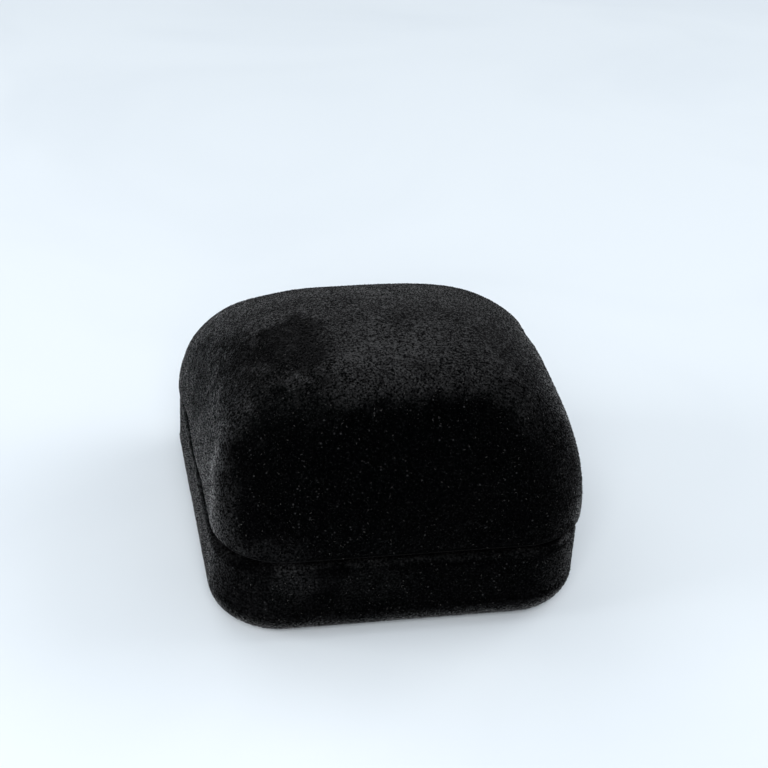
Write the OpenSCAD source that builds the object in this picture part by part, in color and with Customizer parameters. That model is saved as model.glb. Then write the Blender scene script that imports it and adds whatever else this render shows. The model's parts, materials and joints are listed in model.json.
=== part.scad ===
// Clamshell ring box covered in velvet: a shallow tub and a domed lid on a sprung hinge.
// Millimetres, +Z up, the front faces -Y, the origin lies on the table under the middle of the box.

/* [Outline] */
// Width of the covered box
box_width = 54; // [52:1:60]
// Depth of the covered box, front to back
box_depth = 60; // [58:1:68]
// Height of the closed box
box_height = 39; // [37:0.5:46]
// Height of the parting line between base and lid
parting_height = 12.8; // [12.4:0.1:15]
// Radius of the box's corners in plan
corner_radius = 10.3; // [9.5:0.1:12]
// Radius of the base's bottom edge
bottom_radius = 4.8; // [3.5:0.1:5.2]
// Radius of the soft rims that meet at the parting line
rim_radius = 1.4; // [1:0.1:1.8]
// Gap between the two rims
rim_gap = 0.3; // [0.2:0.05:0.5]

/* [Lid dome] */
// How far the top of the dome lies in front of the middle
crown_forward = 8.3; // [4:0.1:10]
// Fullness of the left and right flanks near the rim
side_rise = 2.37; // [2:0.01:3]
// Squareness of the left and right shoulders
side_square = 3.47; // [2:0.01:4]
// Fullness of the front near the rim
front_rise = 2.59; // [2:0.01:3]
// Squareness of the front shoulder
front_square = 4.22; // [2:0.01:5]
// Fullness of the back near the rim
back_rise = 2.03; // [2:0.01:3]
// Squareness of the back shoulder
back_square = 1.8; // [1.7:0.01:3]
// Roundness of the outline at the crown, where 1 is a full round
crown_round = 0.92; // [0.6:0.01:0.95]

/* [Shells and covers] */
// Thickness of the velvet with its pile
velvet = 0.7; // [0.5:0.1:0.9]
// Thickness of the moulded shells
shell_wall = 1.2; // [1:0.1:1.4]
// Thickness of the velvet's turned-in edge
turn_in = 0.5; // [0.3:0.1:0.6]
// Depth of the turned-in edge below the base's rim
turn_in_depth = 3.8; // [2:0.1:4.2]

/* [Collar] */
// Side clearance between the collar and the turned-in velvet
collar_clearance = 0.7; // [0.6:0.05:0.9]
// Height of the collar above the parting line
collar_rise = 2.8; // [2:0.1:3]
// Thickness of the collar board
collar_wall = 1; // [0.8:0.1:1.2]
// Thickness of the velvet bound over the collar
binding = 0.5; // [0.3:0.1:0.6]
// Height of that velvet band
binding_height = 7; // [5:0.5:8]

/* [Ring pads] */
// Thickness of the card under the pads
board = 1; // [0.6:0.1:1.4]
// Height of the pads' tops above the parting line
pad_rise = 1.8; // [0:0.1:2.5]
// Width of the ring slot between the pads
slot_width = 1.6; // [1:0.1:3]
// Radius of the pads' top edges
pad_radius = 4; // [2:0.1:5]
// Thickness of the velvet over the pads
pad_velvet = 0.6; // [0.4:0.1:0.8]
// Gap between a pad and what stands round it
pad_gap = 0.2; // [0.1:0.05:0.4]

/* [Hinge] */
// Radius of the hinge pin
pin_radius = 0.6; // [0.5:0.05:0.7]
// Running clearance of the pin in the knuckles
pin_clearance = 0.03; // [0.02:0.01:0.06]
// Thickness of the hinge leaves
leaf = 0.5; // [0.4:0.05:0.6]
// Width of the hinge
hinge_width = 24; // [22:1:28]
// Width of each outer knuckle
outer_knuckle = 4; // [3:0.5:5]
// Width of each inner knuckle
inner_knuckle = 3.4; // [2:0.2:3.8]
// Gap between two knuckles
knuckle_gap = 0.2; // [0.15:0.05:0.3]
// Reach of a leaf from the pin to its far edge
leaf_reach = 5.6; // [5.2:0.1:5.7]
// Clearance round the moving hinge
hinge_clearance = 0.3; // [0.25:0.05:0.4]
// Angle of the bevels that let the lid swing back
bevel_angle = 50; // [49:0.5:54]
// Thickness of the land under the lid's leaf
land = 0.7; // [0.5:0.1:0.8]

/* [Rivets] */
// Radius of a rivet's shank
rivet_radius = 0.6; // [0.5:0.05:0.8]
// Radius of a rivet's head
rivet_head = 1.1; // [0.9:0.1:1.3]
// Height of a rivet's head
rivet_head_height = 0.35; // [0.25:0.05:0.4]
// Depth of a rivet in the shell
rivet_grip = 0.9; // [0.6:0.1:1]
// Distance of a rivet from the middle of the hinge
rivet_side = 9; // [8:0.5:10]
// Distance of a rivet from the pin
rivet_drop = 3.9; // [3.4:0.1:4.4]
// Height of a peened pin end
pin_head_height = 0.3; // [0.2:0.05:0.4]
// Radius of a peened pin end
pin_head = 0.85; // [0.75:0.05:0.95]

/* [Springs] */
// Radius of the spring wire
wire_radius = 0.2; // [0.15:0.01:0.22]
// Clearance of a coil round the pin
coil_clearance = 0.12; // [0.08:0.01:0.15]
// Turns of each coil
coil_turns = 5; // [3:1:6]
// Clearance between neighbouring turns
turn_clearance = 0.04; // [0.02:0.01:0.06]
// Distance of each coil from the middle of the hinge
coil_side = 1; // [0.6:0.1:1.2]
// Reach of each spring leg from the pin
leg_reach = 5.2; // [4:0.1:5.4]
// Clearance between a spring leg and its leaf
leg_clearance = 0.05; // [0.04:0.01:0.08]

/* [Lid lining] */
// Clearance left for glue between lining layers
glue = 0.1; // [0.08:0.01:0.15]
// Clearance between the collar and the lining frame
frame_clearance = 0.4; // [0.35:0.05:0.6]
// Height of the lining frame
frame_height = 2.3; // [1.8:0.1:2.6]
// Width of the lining frame's face
frame_width = 3.2; // [3:0.1:3.6]
// Thickness of the formed card
lining_card = 0.6; // [0.4:0.1:0.8]
// Thickness of the wadding
wadding = 1.8; // [1:0.1:2]
// Thickness of the satin
satin = 0.5; // [0.3:0.1:0.6]

/* [Hidden] */
$fn = 64;

// facets of the dome and the spring wire
corner_steps = 8;
dome_steps = 14;
rim_steps = 4;
wire_sides = 6;
turn_steps = 12;
crown_flat = 0.998;
over = 1;

half_w = box_width / 2;
half_d = box_depth / 2;
base_top = parting_height - rim_gap / 2;
lid_bottom = parting_height + rim_gap / 2;

// distances inwards from the outside of the cover
shell_out = velvet;
shell_in = shell_out + shell_wall;
turned = shell_in + turn_in;
binding_out = turned + collar_clearance;
collar_out = binding_out + binding;
collar_in = collar_out + collar_wall;
binding_in = collar_in + binding;
pad_out = binding_in + pad_gap;
foam_out = pad_out + pad_velvet;

floor_top = shell_in;
collar_top = parting_height + collar_rise;
// the collar's foot rests where the rounded inside edge of the tub reaches its outer face
foot_in = max(0, bottom_radius - collar_out);
collar_foot = bottom_radius - sqrt(pow(bottom_radius - shell_in, 2) - foot_in * foot_in);
pad_floor = floor_top + board;
pad_top = parting_height + pad_rise;

knuckle_radius = pin_radius + pin_clearance + leaf;
leaf_face = -knuckle_radius;
leaf_back = leaf_face + leaf;
axis_y = half_d - shell_in - leaf_back;
plate_start = knuckle_radius + hinge_clearance;
notch_half = hinge_width / 2 + pin_head_height + hinge_clearance;
inner_start = hinge_width / 2 - outer_knuckle - knuckle_gap - inner_knuckle;
// the lid's leaf leans back to the inside of the lid's shell
leaf_lean = atan((half_d - shell_in - back_edge(shell_in, parting_height + leaf_reach)) / leaf_reach);
leg_face = leaf_face - leg_clearance - wire_radius;

coil_radius = pin_radius + coil_clearance + wire_radius;
coil_pitch = 2 * wire_radius + turn_clearance;

card_out = shell_in + glue;
wadding_out = card_out + lining_card + glue;
satin_out = wadding_out + wadding + glue;
satin_in = satin_out + satin;
frame_bottom = collar_top + frame_clearance;
frame_top = frame_bottom + frame_height;
lining_bottom = frame_top + glue;

// ---- flat outlines and swept walls of the base ----

// Plan of the box, brought in by a distance
module plan(inset) {
    square([2 * (half_w - inset), 2 * (half_d - corner_radius)], center = true);
    square([2 * (half_w - corner_radius), 2 * (half_d - inset)], center = true);
    for (x = [-1, 1], y = [-1, 1])
        translate([x * (half_w - corner_radius), y * (half_d - corner_radius)])
            circle(corner_radius - inset);
}

// Prism of the plan between two heights
module slab(inset, low, high) {
    translate([0, 0, low])
        linear_extrude(high - low)
            plan(inset);
}

// Upright ring between two insets and two heights
module ring_wall(outer, inner, low, high) {
    translate([0, 0, low])
        linear_extrude(high - low)
            difference() {
                plan(outer);
                plan(inner);
            }
}

// Section of the tub from a corner's axis outwards, with rounded bottom and top edges
module tub_section(inset, top, top_radius) {
    edge = corner_radius - inset;
    bottom = bottom_radius - inset;
    difference() {
        translate([0, inset])
            square([edge, top - inset]);
        difference() {
            translate([edge - bottom, inset - over])
                square([bottom + over, bottom + over]);
            translate([edge - bottom, inset + bottom])
                circle(bottom);
        }
        difference() {
            translate([edge - top_radius, top - top_radius])
                square(top_radius + over);
            translate([edge - top_radius, top - top_radius])
                circle(top_radius);
        }
    }
}

// Sweeps a section round the plan: a quarter turn at each corner, a straight bar at each side
module round_plan() {
    bar_x = half_w - corner_radius;
    bar_y = half_d - corner_radius;
    for (i = [0:3]) {
        out = i % 2 == 0 ? bar_x : bar_y;
        along = i % 2 == 0 ? bar_y : bar_x;
        rotate([0, 0, 90 * i])
            translate([out, along, 0]) {
                rotate_extrude(angle = 90)
                    children();
                rotate([90, 0, 0])
                    linear_extrude(2 * along)
                        children();
            }
    }
}

// Flat floor inside the swept bars
module floor_plate(low, high) {
    translate([corner_radius - half_w, corner_radius - half_d, low])
        cube([2 * (half_w - corner_radius), 2 * (half_d - corner_radius), high - low]);
}

// ---- rings of the lid's dome ----

// Share of the full half-width left at a height share t
function shoulder(t, rise, square_) = pow(1 - pow(min(t, crown_flat), rise), 1 / square_);

// Share of the dome's rise at a height
function rise_share(inset, z) = (z - parting_height) / (box_height - inset - parting_height);

// Distance of the dome's back from the crown's middle at a height
function back_reach(inset, z) =
    (half_d + crown_forward - inset) * shoulder(rise_share(inset, z), back_rise, back_square);

// Y of the dome's back at a height
function back_edge(inset, z) = back_reach(inset, z) - crown_forward;

// Rounded rectangle of points at one height, counter-clockwise from above
function outline_ring(hx, front, back, r, z) = [
    for (q = [0:3], k = [0:corner_steps])
        let (
            a = 90 * (q + k / corner_steps),
            east = (q == 0 || q == 3) ? hx - r : r - hx,
            north = q < 2 ? back - r : r - front
        )
        [east + r * cos(a), north - crown_forward + r * sin(a), z]
];

// Ring of the dome at a height, brought in by a distance
function dome_ring(inset, z) =
    let (
        t = rise_share(inset, z),
        hx = (half_w - inset) * shoulder(t, side_rise, side_square),
        front = (half_d - crown_forward - inset) * shoulder(t, front_rise, front_square),
        back = back_reach(inset, z),
        low = (corner_radius - inset) / (half_w - inset),
        share = low + (crown_round - low) * t * t
    )
    outline_ring(hx, front, back, share * min(hx, (front + back) / 2), z);

// Path of a dome surface from a height up to the crown, as [inset, z] pairs
function dome_path(inset, low) =
    let (
        top = box_height - inset,
        first = asin((low - parting_height) / (top - parting_height))
    )
    [for (k = [0:dome_steps]) [inset, parting_height
        + (top - parting_height) * sin(first + (90 - first) * k / dome_steps)]];

function reversed(list) = [for (i = [len(list) - 1:-1:0]) list[i]];

// Side faces between ring i and ring j of n points each
function band(i, j, n) = [
    for (k = [0:n - 1])
        [i * n + k, j * n + k, j * n + (k + 1) % n, i * n + (k + 1) % n]
];

// Closed wall through rings given by [inset, z] pairs, capped at both ends
module dome_wall(path) {
    rings = [for (p = path) dome_ring(p[0], p[1])];
    n = len(rings[0]);
    last = len(rings) - 1;
    polyhedron(
        points = [for (r = rings) for (p = r) p],
        faces = concat(
            [for (i = [0:last - 1]) for (f = band(i, i + 1, n)) f],
            [[for (k = [0:n - 1]) k]],
            [[for (k = [n - 1:-1:0]) last * n + k]]),
        convexity = 6);
}

// Endless ring through rings given by [inset, z] pairs
module dome_hoop(path) {
    rings = [for (p = path) dome_ring(p[0], p[1])];
    n = len(rings[0]);
    last = len(rings) - 1;
    polyhedron(
        points = [for (r = rings) for (p = r) p],
        faces = [for (i = [0:last]) for (f = band(i, (i + 1) % (last + 1), n)) f],
        convexity = 6);
}

// Dome layer between two insets that starts at a height
module dome_layer(outer, inner, low) {
    dome_wall(concat(reversed(dome_path(inner, low)), dome_path(outer, low)));
}

// ---- hinge shapes, drawn about the pin with the plate upwards ----

module at_pin() {
    translate([0, axis_y, parting_height])
        children();
}

module on_base() {
    at_pin()
        mirror([0, 0, 1])
            children();
}

module on_lid() {
    at_pin()
        rotate([leaf_lean, 0, 0])
            children();
}

// Cylinder along X from a start, with a length
module rod(radius, start, length) {
    translate([start, 0, 0])
        rotate([0, 90, 0])
            cylinder(r = radius, h = length);
}

module both_sides() {
    children();
    mirror([1, 0, 0])
        children();
}

// Plate with two rolled knuckles, each from a start and with a width
module hinge_leaf(start, width) {
    difference() {
        union() {
            translate([-hinge_width / 2, leaf_face, plate_start])
                cube([hinge_width, leaf, leaf_reach - plate_start]);
            both_sides() {
                rod(knuckle_radius, start, width);
                translate([start, leaf_face, 0])
                    cube([width, leaf, plate_start]);
            }
        }
        rod(pin_radius + pin_clearance, -half_w, box_width);
        rivet_holes();
    }
}

// Rivet along Y, with its head on the leaf's free face
module rivet() {
    translate([rivet_side, leaf_face, rivet_drop])
        rotate([-90, 0, 0]) {
            translate([0, 0, -rivet_head_height])
                cylinder(r = rivet_head, h = rivet_head_height);
            cylinder(r = rivet_radius, h = leaf + rivet_grip);
        }
}

module rivet_holes() {
    both_sides()
        translate([rivet_side, leaf_face - over, rivet_drop])
            rotate([-90, 0, 0])
                cylinder(r = rivet_radius, h = over + leaf + rivet_grip);
}

// Opening through a back wall for the knuckles
module knuckle_notch() {
    rise = knuckle_radius + hinge_clearance;
    translate([-notch_half, axis_y + leaf_face - over, parting_height - rise])
        cube([2 * notch_half, half_d, 2 * rise]);
}

// Room for a leaf in the turned-in velvet, upwards or downwards from the pin
module leaf_pocket() {
    at_pin()
        translate([-notch_half, leaf_face - hinge_clearance - over, -leaf_reach - hinge_clearance])
            cube([2 * notch_half, leaf + hinge_clearance + over, 2 * (leaf_reach + hinge_clearance)]);
}

// Bevel behind the pin, as cut from the base
module base_bevel() {
    reach = half_d;
    translate([-half_w - over, axis_y, base_top])
        rotate([90, 0, 90])
            linear_extrude(box_width + 2 * over)
                polygon([[0, 0], [reach, -reach * tan(bevel_angle)], [reach, reach]]);
}

module lid_bevel() {
    translate([0, 0, 2 * parting_height])
        mirror([0, 0, 1])
            base_bevel();
}

// ---- springs ----

// Point beside the pin at a distance from the base's leaf plane, seen along X
function base_leg(reach) = [leg_face, -reach];

// The same beside the leaning leaf of the lid
function lid_leg(reach) = [
    leg_face * cos(leaf_lean) - reach * sin(leaf_lean),
    leg_face * sin(leaf_lean) + reach * cos(leaf_lean)
];

// Centre line of the wire from the base's leg through the coil to the lid's leg
function spring_path() =
    let (
        coil_end = coil_side + coil_turns * coil_pitch,
        down = base_leg(plate_start),
        down_end = base_leg(leg_reach),
        up = lid_leg(plate_start),
        up_end = lid_leg(leg_reach)
    )
    concat(
        [[coil_end, down_end[0], down_end[1]], [coil_end, down[0], down[1]]],
        [for (k = [0:coil_turns * turn_steps])
            let (a = 360 * k / turn_steps)
            [coil_end - coil_pitch * k / turn_steps, -coil_radius * cos(a), coil_radius * sin(a)]],
        [[coil_side, up[0], up[1]], [coil_side, up_end[0], up_end[1]]]);

function unit(v) = v / norm(v);

// Ring of wire round point i of a path that runs mostly across X
function wire_ring(path, i) =
    let (
        along = unit(path[min(i + 1, len(path) - 1)] - path[max(i - 1, 0)]),
        across = unit(cross(along, [1, 0, 0])),
        third = cross(along, across)
    )
    [for (k = [0:wire_sides - 1])
        let (a = 360 * k / wire_sides)
        path[i] + wire_radius * (across * cos(a) + third * sin(a))];

// Torsion spring on the pin, right of the middle
module torsion_spring() {
    path = spring_path();
    last = len(path) - 1;
    n = wire_sides;
    polyhedron(
        points = [for (i = [0:last]) for (p = wire_ring(path, i)) p],
        faces = concat(
            [for (i = [0:last - 1]) for (f = band(i + 1, i, n)) f],
            [[for (k = [n - 1:-1:0]) k]],
            [[for (k = [0:n - 1]) last * n + k]]),
        convexity = 8);
}

// ---- base ----

module base_velvet() {
    color([0.03, 0.03, 0.035])
        difference() {
            union() {
                round_plan()
                    difference() {
                        tub_section(0, base_top, rim_radius);
                        difference() {
                            tub_section(shell_out, base_top - velvet, rim_radius - velvet);
                            translate([corner_radius - turned, base_top - turn_in_depth])
                                square([turn_in, turn_in_depth]);
                        }
                        translate([-over, base_top - velvet - over])
                            square([corner_radius - turned + over, velvet + 2 * over]);
                    }
                floor_plate(0, velvet);
            }
            knuckle_notch();
            leaf_pocket();
            base_bevel();
        }
}

module base_shell() {
    color([0.12, 0.12, 0.13])
        difference() {
            union() {
                round_plan()
                    difference() {
                        tub_section(shell_out, base_top - velvet, rim_radius - velvet);
                        tub_section(shell_in, base_top, 0);
                    }
                floor_plate(velvet, floor_top);
            }
            knuckle_notch();
            base_bevel();
            on_base()
                rivet_holes();
        }
}

// Room at the back of the collar for the hinge
module collar_notch() {
    translate([-notch_half - hinge_clearance, 0, parting_height - knuckle_radius - 2 * hinge_clearance])
        cube([2 * (notch_half + hinge_clearance), box_depth, box_height]);
}

module collar_board() {
    color([0.45, 0.42, 0.38])
        difference() {
            ring_wall(collar_out, collar_in, collar_foot, collar_top - binding);
            translate([0, 0, -binding])
                collar_notch();
        }
}

module collar_velvet() {
    color([0.04, 0.04, 0.045])
        difference() {
            ring_wall(binding_out, binding_in, collar_top - binding_height, collar_top);
            collar_notch();
            collar_board();
        }
}

module pad_board() {
    color([0.45, 0.42, 0.38])
        slab(collar_in + pad_gap, floor_top, pad_floor);
}

// Bar behind the slot with rounded top edges, brought in by a distance and standing on a floor
module pad_bar(inset, low) {
    start = slot_width / 2 + inset - pad_out;
    end = half_d - inset;
    top = pad_top - (inset - pad_out);
    radius = pad_radius - (inset - pad_out);
    intersection() {
        slab(inset, low, top);
        translate([-half_w, 0, 0])
            rotate([90, 0, 90])
                linear_extrude(box_width)
                    union() {
                        translate([start, low])
                            square([end - start, top - radius - low]);
                        translate([start + radius, low])
                            square([end - start - 2 * radius, top - low]);
                        for (y = [start + radius, end - radius])
                            translate([y, top - radius])
                                circle(radius);
                    }
    }
}

module pad_cover() {
    color([0.04, 0.04, 0.045])
        difference() {
            pad_bar(pad_out, pad_floor);
            pad_bar(foam_out, pad_floor - over);
        }
}

module foam_bar() {
    color([0.85, 0.83, 0.75])
        pad_bar(foam_out, pad_floor);
}

module front_foam() {
    mirror([0, 1, 0])
        foam_bar();
}

module rear_foam() {
    foam_bar();
}

module front_pad_velvet() {
    mirror([0, 1, 0])
        pad_cover();
}

module rear_pad_velvet() {
    pad_cover();
}

module base_leaf() {
    color([0.75, 0.72, 0.66])
        on_base()
            hinge_leaf(hinge_width / 2 - outer_knuckle, outer_knuckle);
}

module base_rivets() {
    color([0.78, 0.76, 0.7])
        on_base()
            both_sides()
                rivet();
}

module hinge_pin() {
    color([0.75, 0.72, 0.66])
        at_pin() {
            rod(pin_radius, -hinge_width / 2, hinge_width);
            both_sides()
                rod(pin_head, hinge_width / 2, pin_head_height);
        }
}

module right_spring() {
    color([0.8, 0.8, 0.82])
        at_pin()
            torsion_spring();
}

module left_spring() {
    mirror([1, 0, 0])
        right_spring();
}

// ---- lid ----

module lid_velvet() {
    shell_low = lid_bottom + velvet;
    turn_top = frame_bottom - glue;
    rim = [for (k = [0:rim_steps - 1])
        [rim_radius * (1 - sin(90 * k / rim_steps)), lid_bottom + rim_radius * (1 - cos(90 * k / rim_steps))]];
    color([0.03, 0.03, 0.035])
        difference() {
            dome_wall(concat(
                reversed(dome_path(shell_out, shell_low)),
                [[shell_in, shell_low], [shell_in + glue, shell_low]],
                [[shell_in + glue, turn_top], [turned, turn_top], [turned, lid_bottom]],
                [for (p = rim) [p[0], p[1]]],
                dome_path(0, lid_bottom + rim_radius)));
            knuckle_notch();
            leaf_pocket();
            lid_bevel();
        }
}

module lid_shell() {
    shell_low = lid_bottom + velvet;
    color([0.12, 0.12, 0.13])
        difference() {
            union() {
                dome_layer(shell_out, shell_in, shell_low);
                on_lid()
                    translate([-notch_half, leaf_back, plate_start])
                        cube([2 * notch_half, land, leaf_reach - plate_start]);
            }
            knuckle_notch();
            lid_bevel();
            on_lid()
                rivet_holes();
        }
}

module lid_frame() {
    inner = card_out + frame_width;
    middle = (frame_bottom + frame_top) / 2;
    relief = leaf_face * cos(leaf_lean) - leaf_reach * sin(leaf_lean) - rivet_head_height - hinge_clearance;
    color([0.04, 0.04, 0.045])
        difference() {
            dome_hoop([
                [card_out, frame_bottom], [card_out, middle], [card_out, frame_top],
                [inner, frame_top], [inner, middle], [inner, frame_bottom]]);
            translate([-notch_half - hinge_clearance, axis_y + relief, parting_height])
                cube([2 * (notch_half + hinge_clearance), half_d, box_height]);
        }
}

module lid_card() {
    color([0.45, 0.42, 0.38])
        dome_layer(card_out, card_out + lining_card, lining_bottom);
}

module lid_wadding() {
    color([0.9, 0.9, 0.88])
        dome_layer(wadding_out, wadding_out + wadding, lining_bottom);
}

module lid_satin() {
    color([0.92, 0.91, 0.88])
        dome_layer(satin_out, satin_in, lining_bottom);
}

module lid_leaf() {
    color([0.75, 0.72, 0.66])
        on_lid()
            hinge_leaf(inner_start, inner_knuckle);
}

module lid_rivets() {
    color([0.78, 0.76, 0.7])
        on_lid()
            both_sides()
                rivet();
}

base_velvet();
base_shell();
collar_board();
collar_velvet();
pad_board();
front_foam();
rear_foam();
front_pad_velvet();
rear_pad_velvet();
base_leaf();
base_rivets();
hinge_pin();
left_spring();
right_spring();
lid_velvet();
lid_shell();
lid_frame();
lid_card();
lid_wadding();
lid_satin();
lid_leaf();
lid_rivets();
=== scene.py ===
"""Looks of a clamshell ring box: velvet covers with their pile, collar, ring pads, hinge and satin lining.

Every object is in metres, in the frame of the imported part. Every size and place given by a number is in
millimetres, unless its description says otherwise.
"""

import json
import logging
import math
from dataclasses import dataclass
from enum import Enum
from typing import Any

import bpy
import numpy as np
from mathutils import Matrix, Vector


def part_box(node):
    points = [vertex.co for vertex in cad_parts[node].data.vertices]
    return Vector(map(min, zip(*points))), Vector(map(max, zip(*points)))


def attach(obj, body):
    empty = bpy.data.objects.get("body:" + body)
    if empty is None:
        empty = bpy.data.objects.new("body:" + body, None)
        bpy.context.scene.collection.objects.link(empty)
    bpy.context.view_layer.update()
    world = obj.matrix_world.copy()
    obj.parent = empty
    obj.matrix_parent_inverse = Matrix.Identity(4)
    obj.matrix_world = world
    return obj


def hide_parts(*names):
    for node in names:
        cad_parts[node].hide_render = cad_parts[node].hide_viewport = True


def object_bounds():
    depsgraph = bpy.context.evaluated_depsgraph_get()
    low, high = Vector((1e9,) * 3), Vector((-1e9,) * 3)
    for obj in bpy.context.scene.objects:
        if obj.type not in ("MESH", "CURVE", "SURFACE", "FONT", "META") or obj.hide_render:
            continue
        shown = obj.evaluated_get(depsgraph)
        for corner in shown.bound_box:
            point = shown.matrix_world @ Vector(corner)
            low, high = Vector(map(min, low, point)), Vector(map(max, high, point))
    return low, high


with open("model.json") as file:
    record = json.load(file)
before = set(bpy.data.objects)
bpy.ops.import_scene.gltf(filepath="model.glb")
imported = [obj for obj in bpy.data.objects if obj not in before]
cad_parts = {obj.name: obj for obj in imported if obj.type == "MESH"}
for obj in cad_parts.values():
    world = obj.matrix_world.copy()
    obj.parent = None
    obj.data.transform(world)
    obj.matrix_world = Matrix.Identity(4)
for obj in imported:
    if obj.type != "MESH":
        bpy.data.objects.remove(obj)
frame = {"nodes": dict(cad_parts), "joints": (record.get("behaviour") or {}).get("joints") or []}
cad_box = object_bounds()

MM = 0.001
LOG = logging.getLogger("ring_box")

Array = np.ndarray
Color = tuple[float, float, float]
Material = bpy.types.Material
Piece = bpy.types.Object
Point = tuple[float, float, float]


class Body(Enum):
    """The two halves that the hinge joins."""

    BASE = "base"
    LID = "lid"


class Slot(Enum):
    """The record's material slots, passed along with each new piece."""

    VELVET = "velvet"
    INNER_VELVET = "inner_velvet"
    FOAM = "foam"
    WADDING = "wadding"
    SATIN = "satin"
    RIVET = "rivet_steel"
    SPRING = "spring_steel"


# ---- node trees ----


class Signal:
    """A node's output that takes part in Python arithmetic, adding Math nodes to its tree."""

    def __init__(self, graph: "Graph", socket: bpy.types.NodeSocket) -> None:
        """Wraps an output socket of a graph's node."""
        self.graph = graph
        self.socket = socket

    def _math(self, operation: str, first: Any, second: Any = 0.0) -> "Signal":
        """Value of a new Math node on one or two numbers or signals."""
        return self.graph.signal("ShaderNodeMath", {"operation": operation}, {0: first, 1: second})

    def __add__(self, other: Any) -> "Signal":
        """Sum with a number or signal."""
        return self._math("ADD", self, other)

    __radd__ = __add__

    def __sub__(self, other: Any) -> "Signal":
        """Difference with a number or signal."""
        return self._math("SUBTRACT", self, other)

    def __rsub__(self, other: Any) -> "Signal":
        """A number less this signal."""
        return self._math("SUBTRACT", other, self)

    def __mul__(self, other: Any) -> "Signal":
        """Product with a number or signal."""
        return self._math("MULTIPLY", self, other)

    __rmul__ = __mul__

    def __truediv__(self, other: Any) -> "Signal":
        """Quotient by a number or signal."""
        return self._math("DIVIDE", self, other)

    def at_least(self, other: Any) -> "Signal":
        """The greater of the two."""
        return self._math("MAXIMUM", self, other)

    def at_most(self, other: Any) -> "Signal":
        """The smaller of the two."""
        return self._math("MINIMUM", self, other)

    def sine(self) -> "Signal":
        """Sine of this signal in radians."""
        return self._math("SINE", self)

    def cosine(self) -> "Signal":
        """Cosine of this signal in radians."""
        return self._math("COSINE", self)

    def ramp(self, low: float, high: float) -> "Signal":
        """Smooth step from zero at low to one at high."""
        return self.graph.signal("ShaderNodeMapRange", {"interpolation_type": "SMOOTHSTEP"},
                                 {"Value": self, "From Min": low, "From Max": high})


class Graph:
    """Adds nodes to a shader or geometry tree."""

    def __init__(self, tree: bpy.types.NodeTree) -> None:
        """Takes the tree that is built."""
        self.tree = tree

    def node(self, kind: str, settings: dict[str, Any] | None = None,
             inputs: dict[str | int, Any] | None = None) -> bpy.types.Node:
        """Makes a node.

        Args:
            kind: The node's type.
            settings: Properties, set first.
            inputs: Values or links by socket name or number.

        Returns:
            The node.
        """
        node = self.tree.nodes.new(kind)
        for key, value in (settings or {}).items():
            setattr(node, key, value)
        for key, value in (inputs or {}).items():
            socket = node.inputs[key]
            if isinstance(value, Signal):
                value = value.socket
            if isinstance(value, bpy.types.NodeSocket):
                self.tree.links.new(value, socket)
            else:
                socket.default_value = value
        return node

    def signal(self, kind: str, settings: dict[str, Any] | None = None,
               inputs: dict[str | int, Any] | None = None, output: str | int = 0) -> Signal:
        """Makes a node as node() does, and wraps the output of that name or number."""
        return Signal(self, self.node(kind, settings, inputs).outputs[output])


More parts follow.
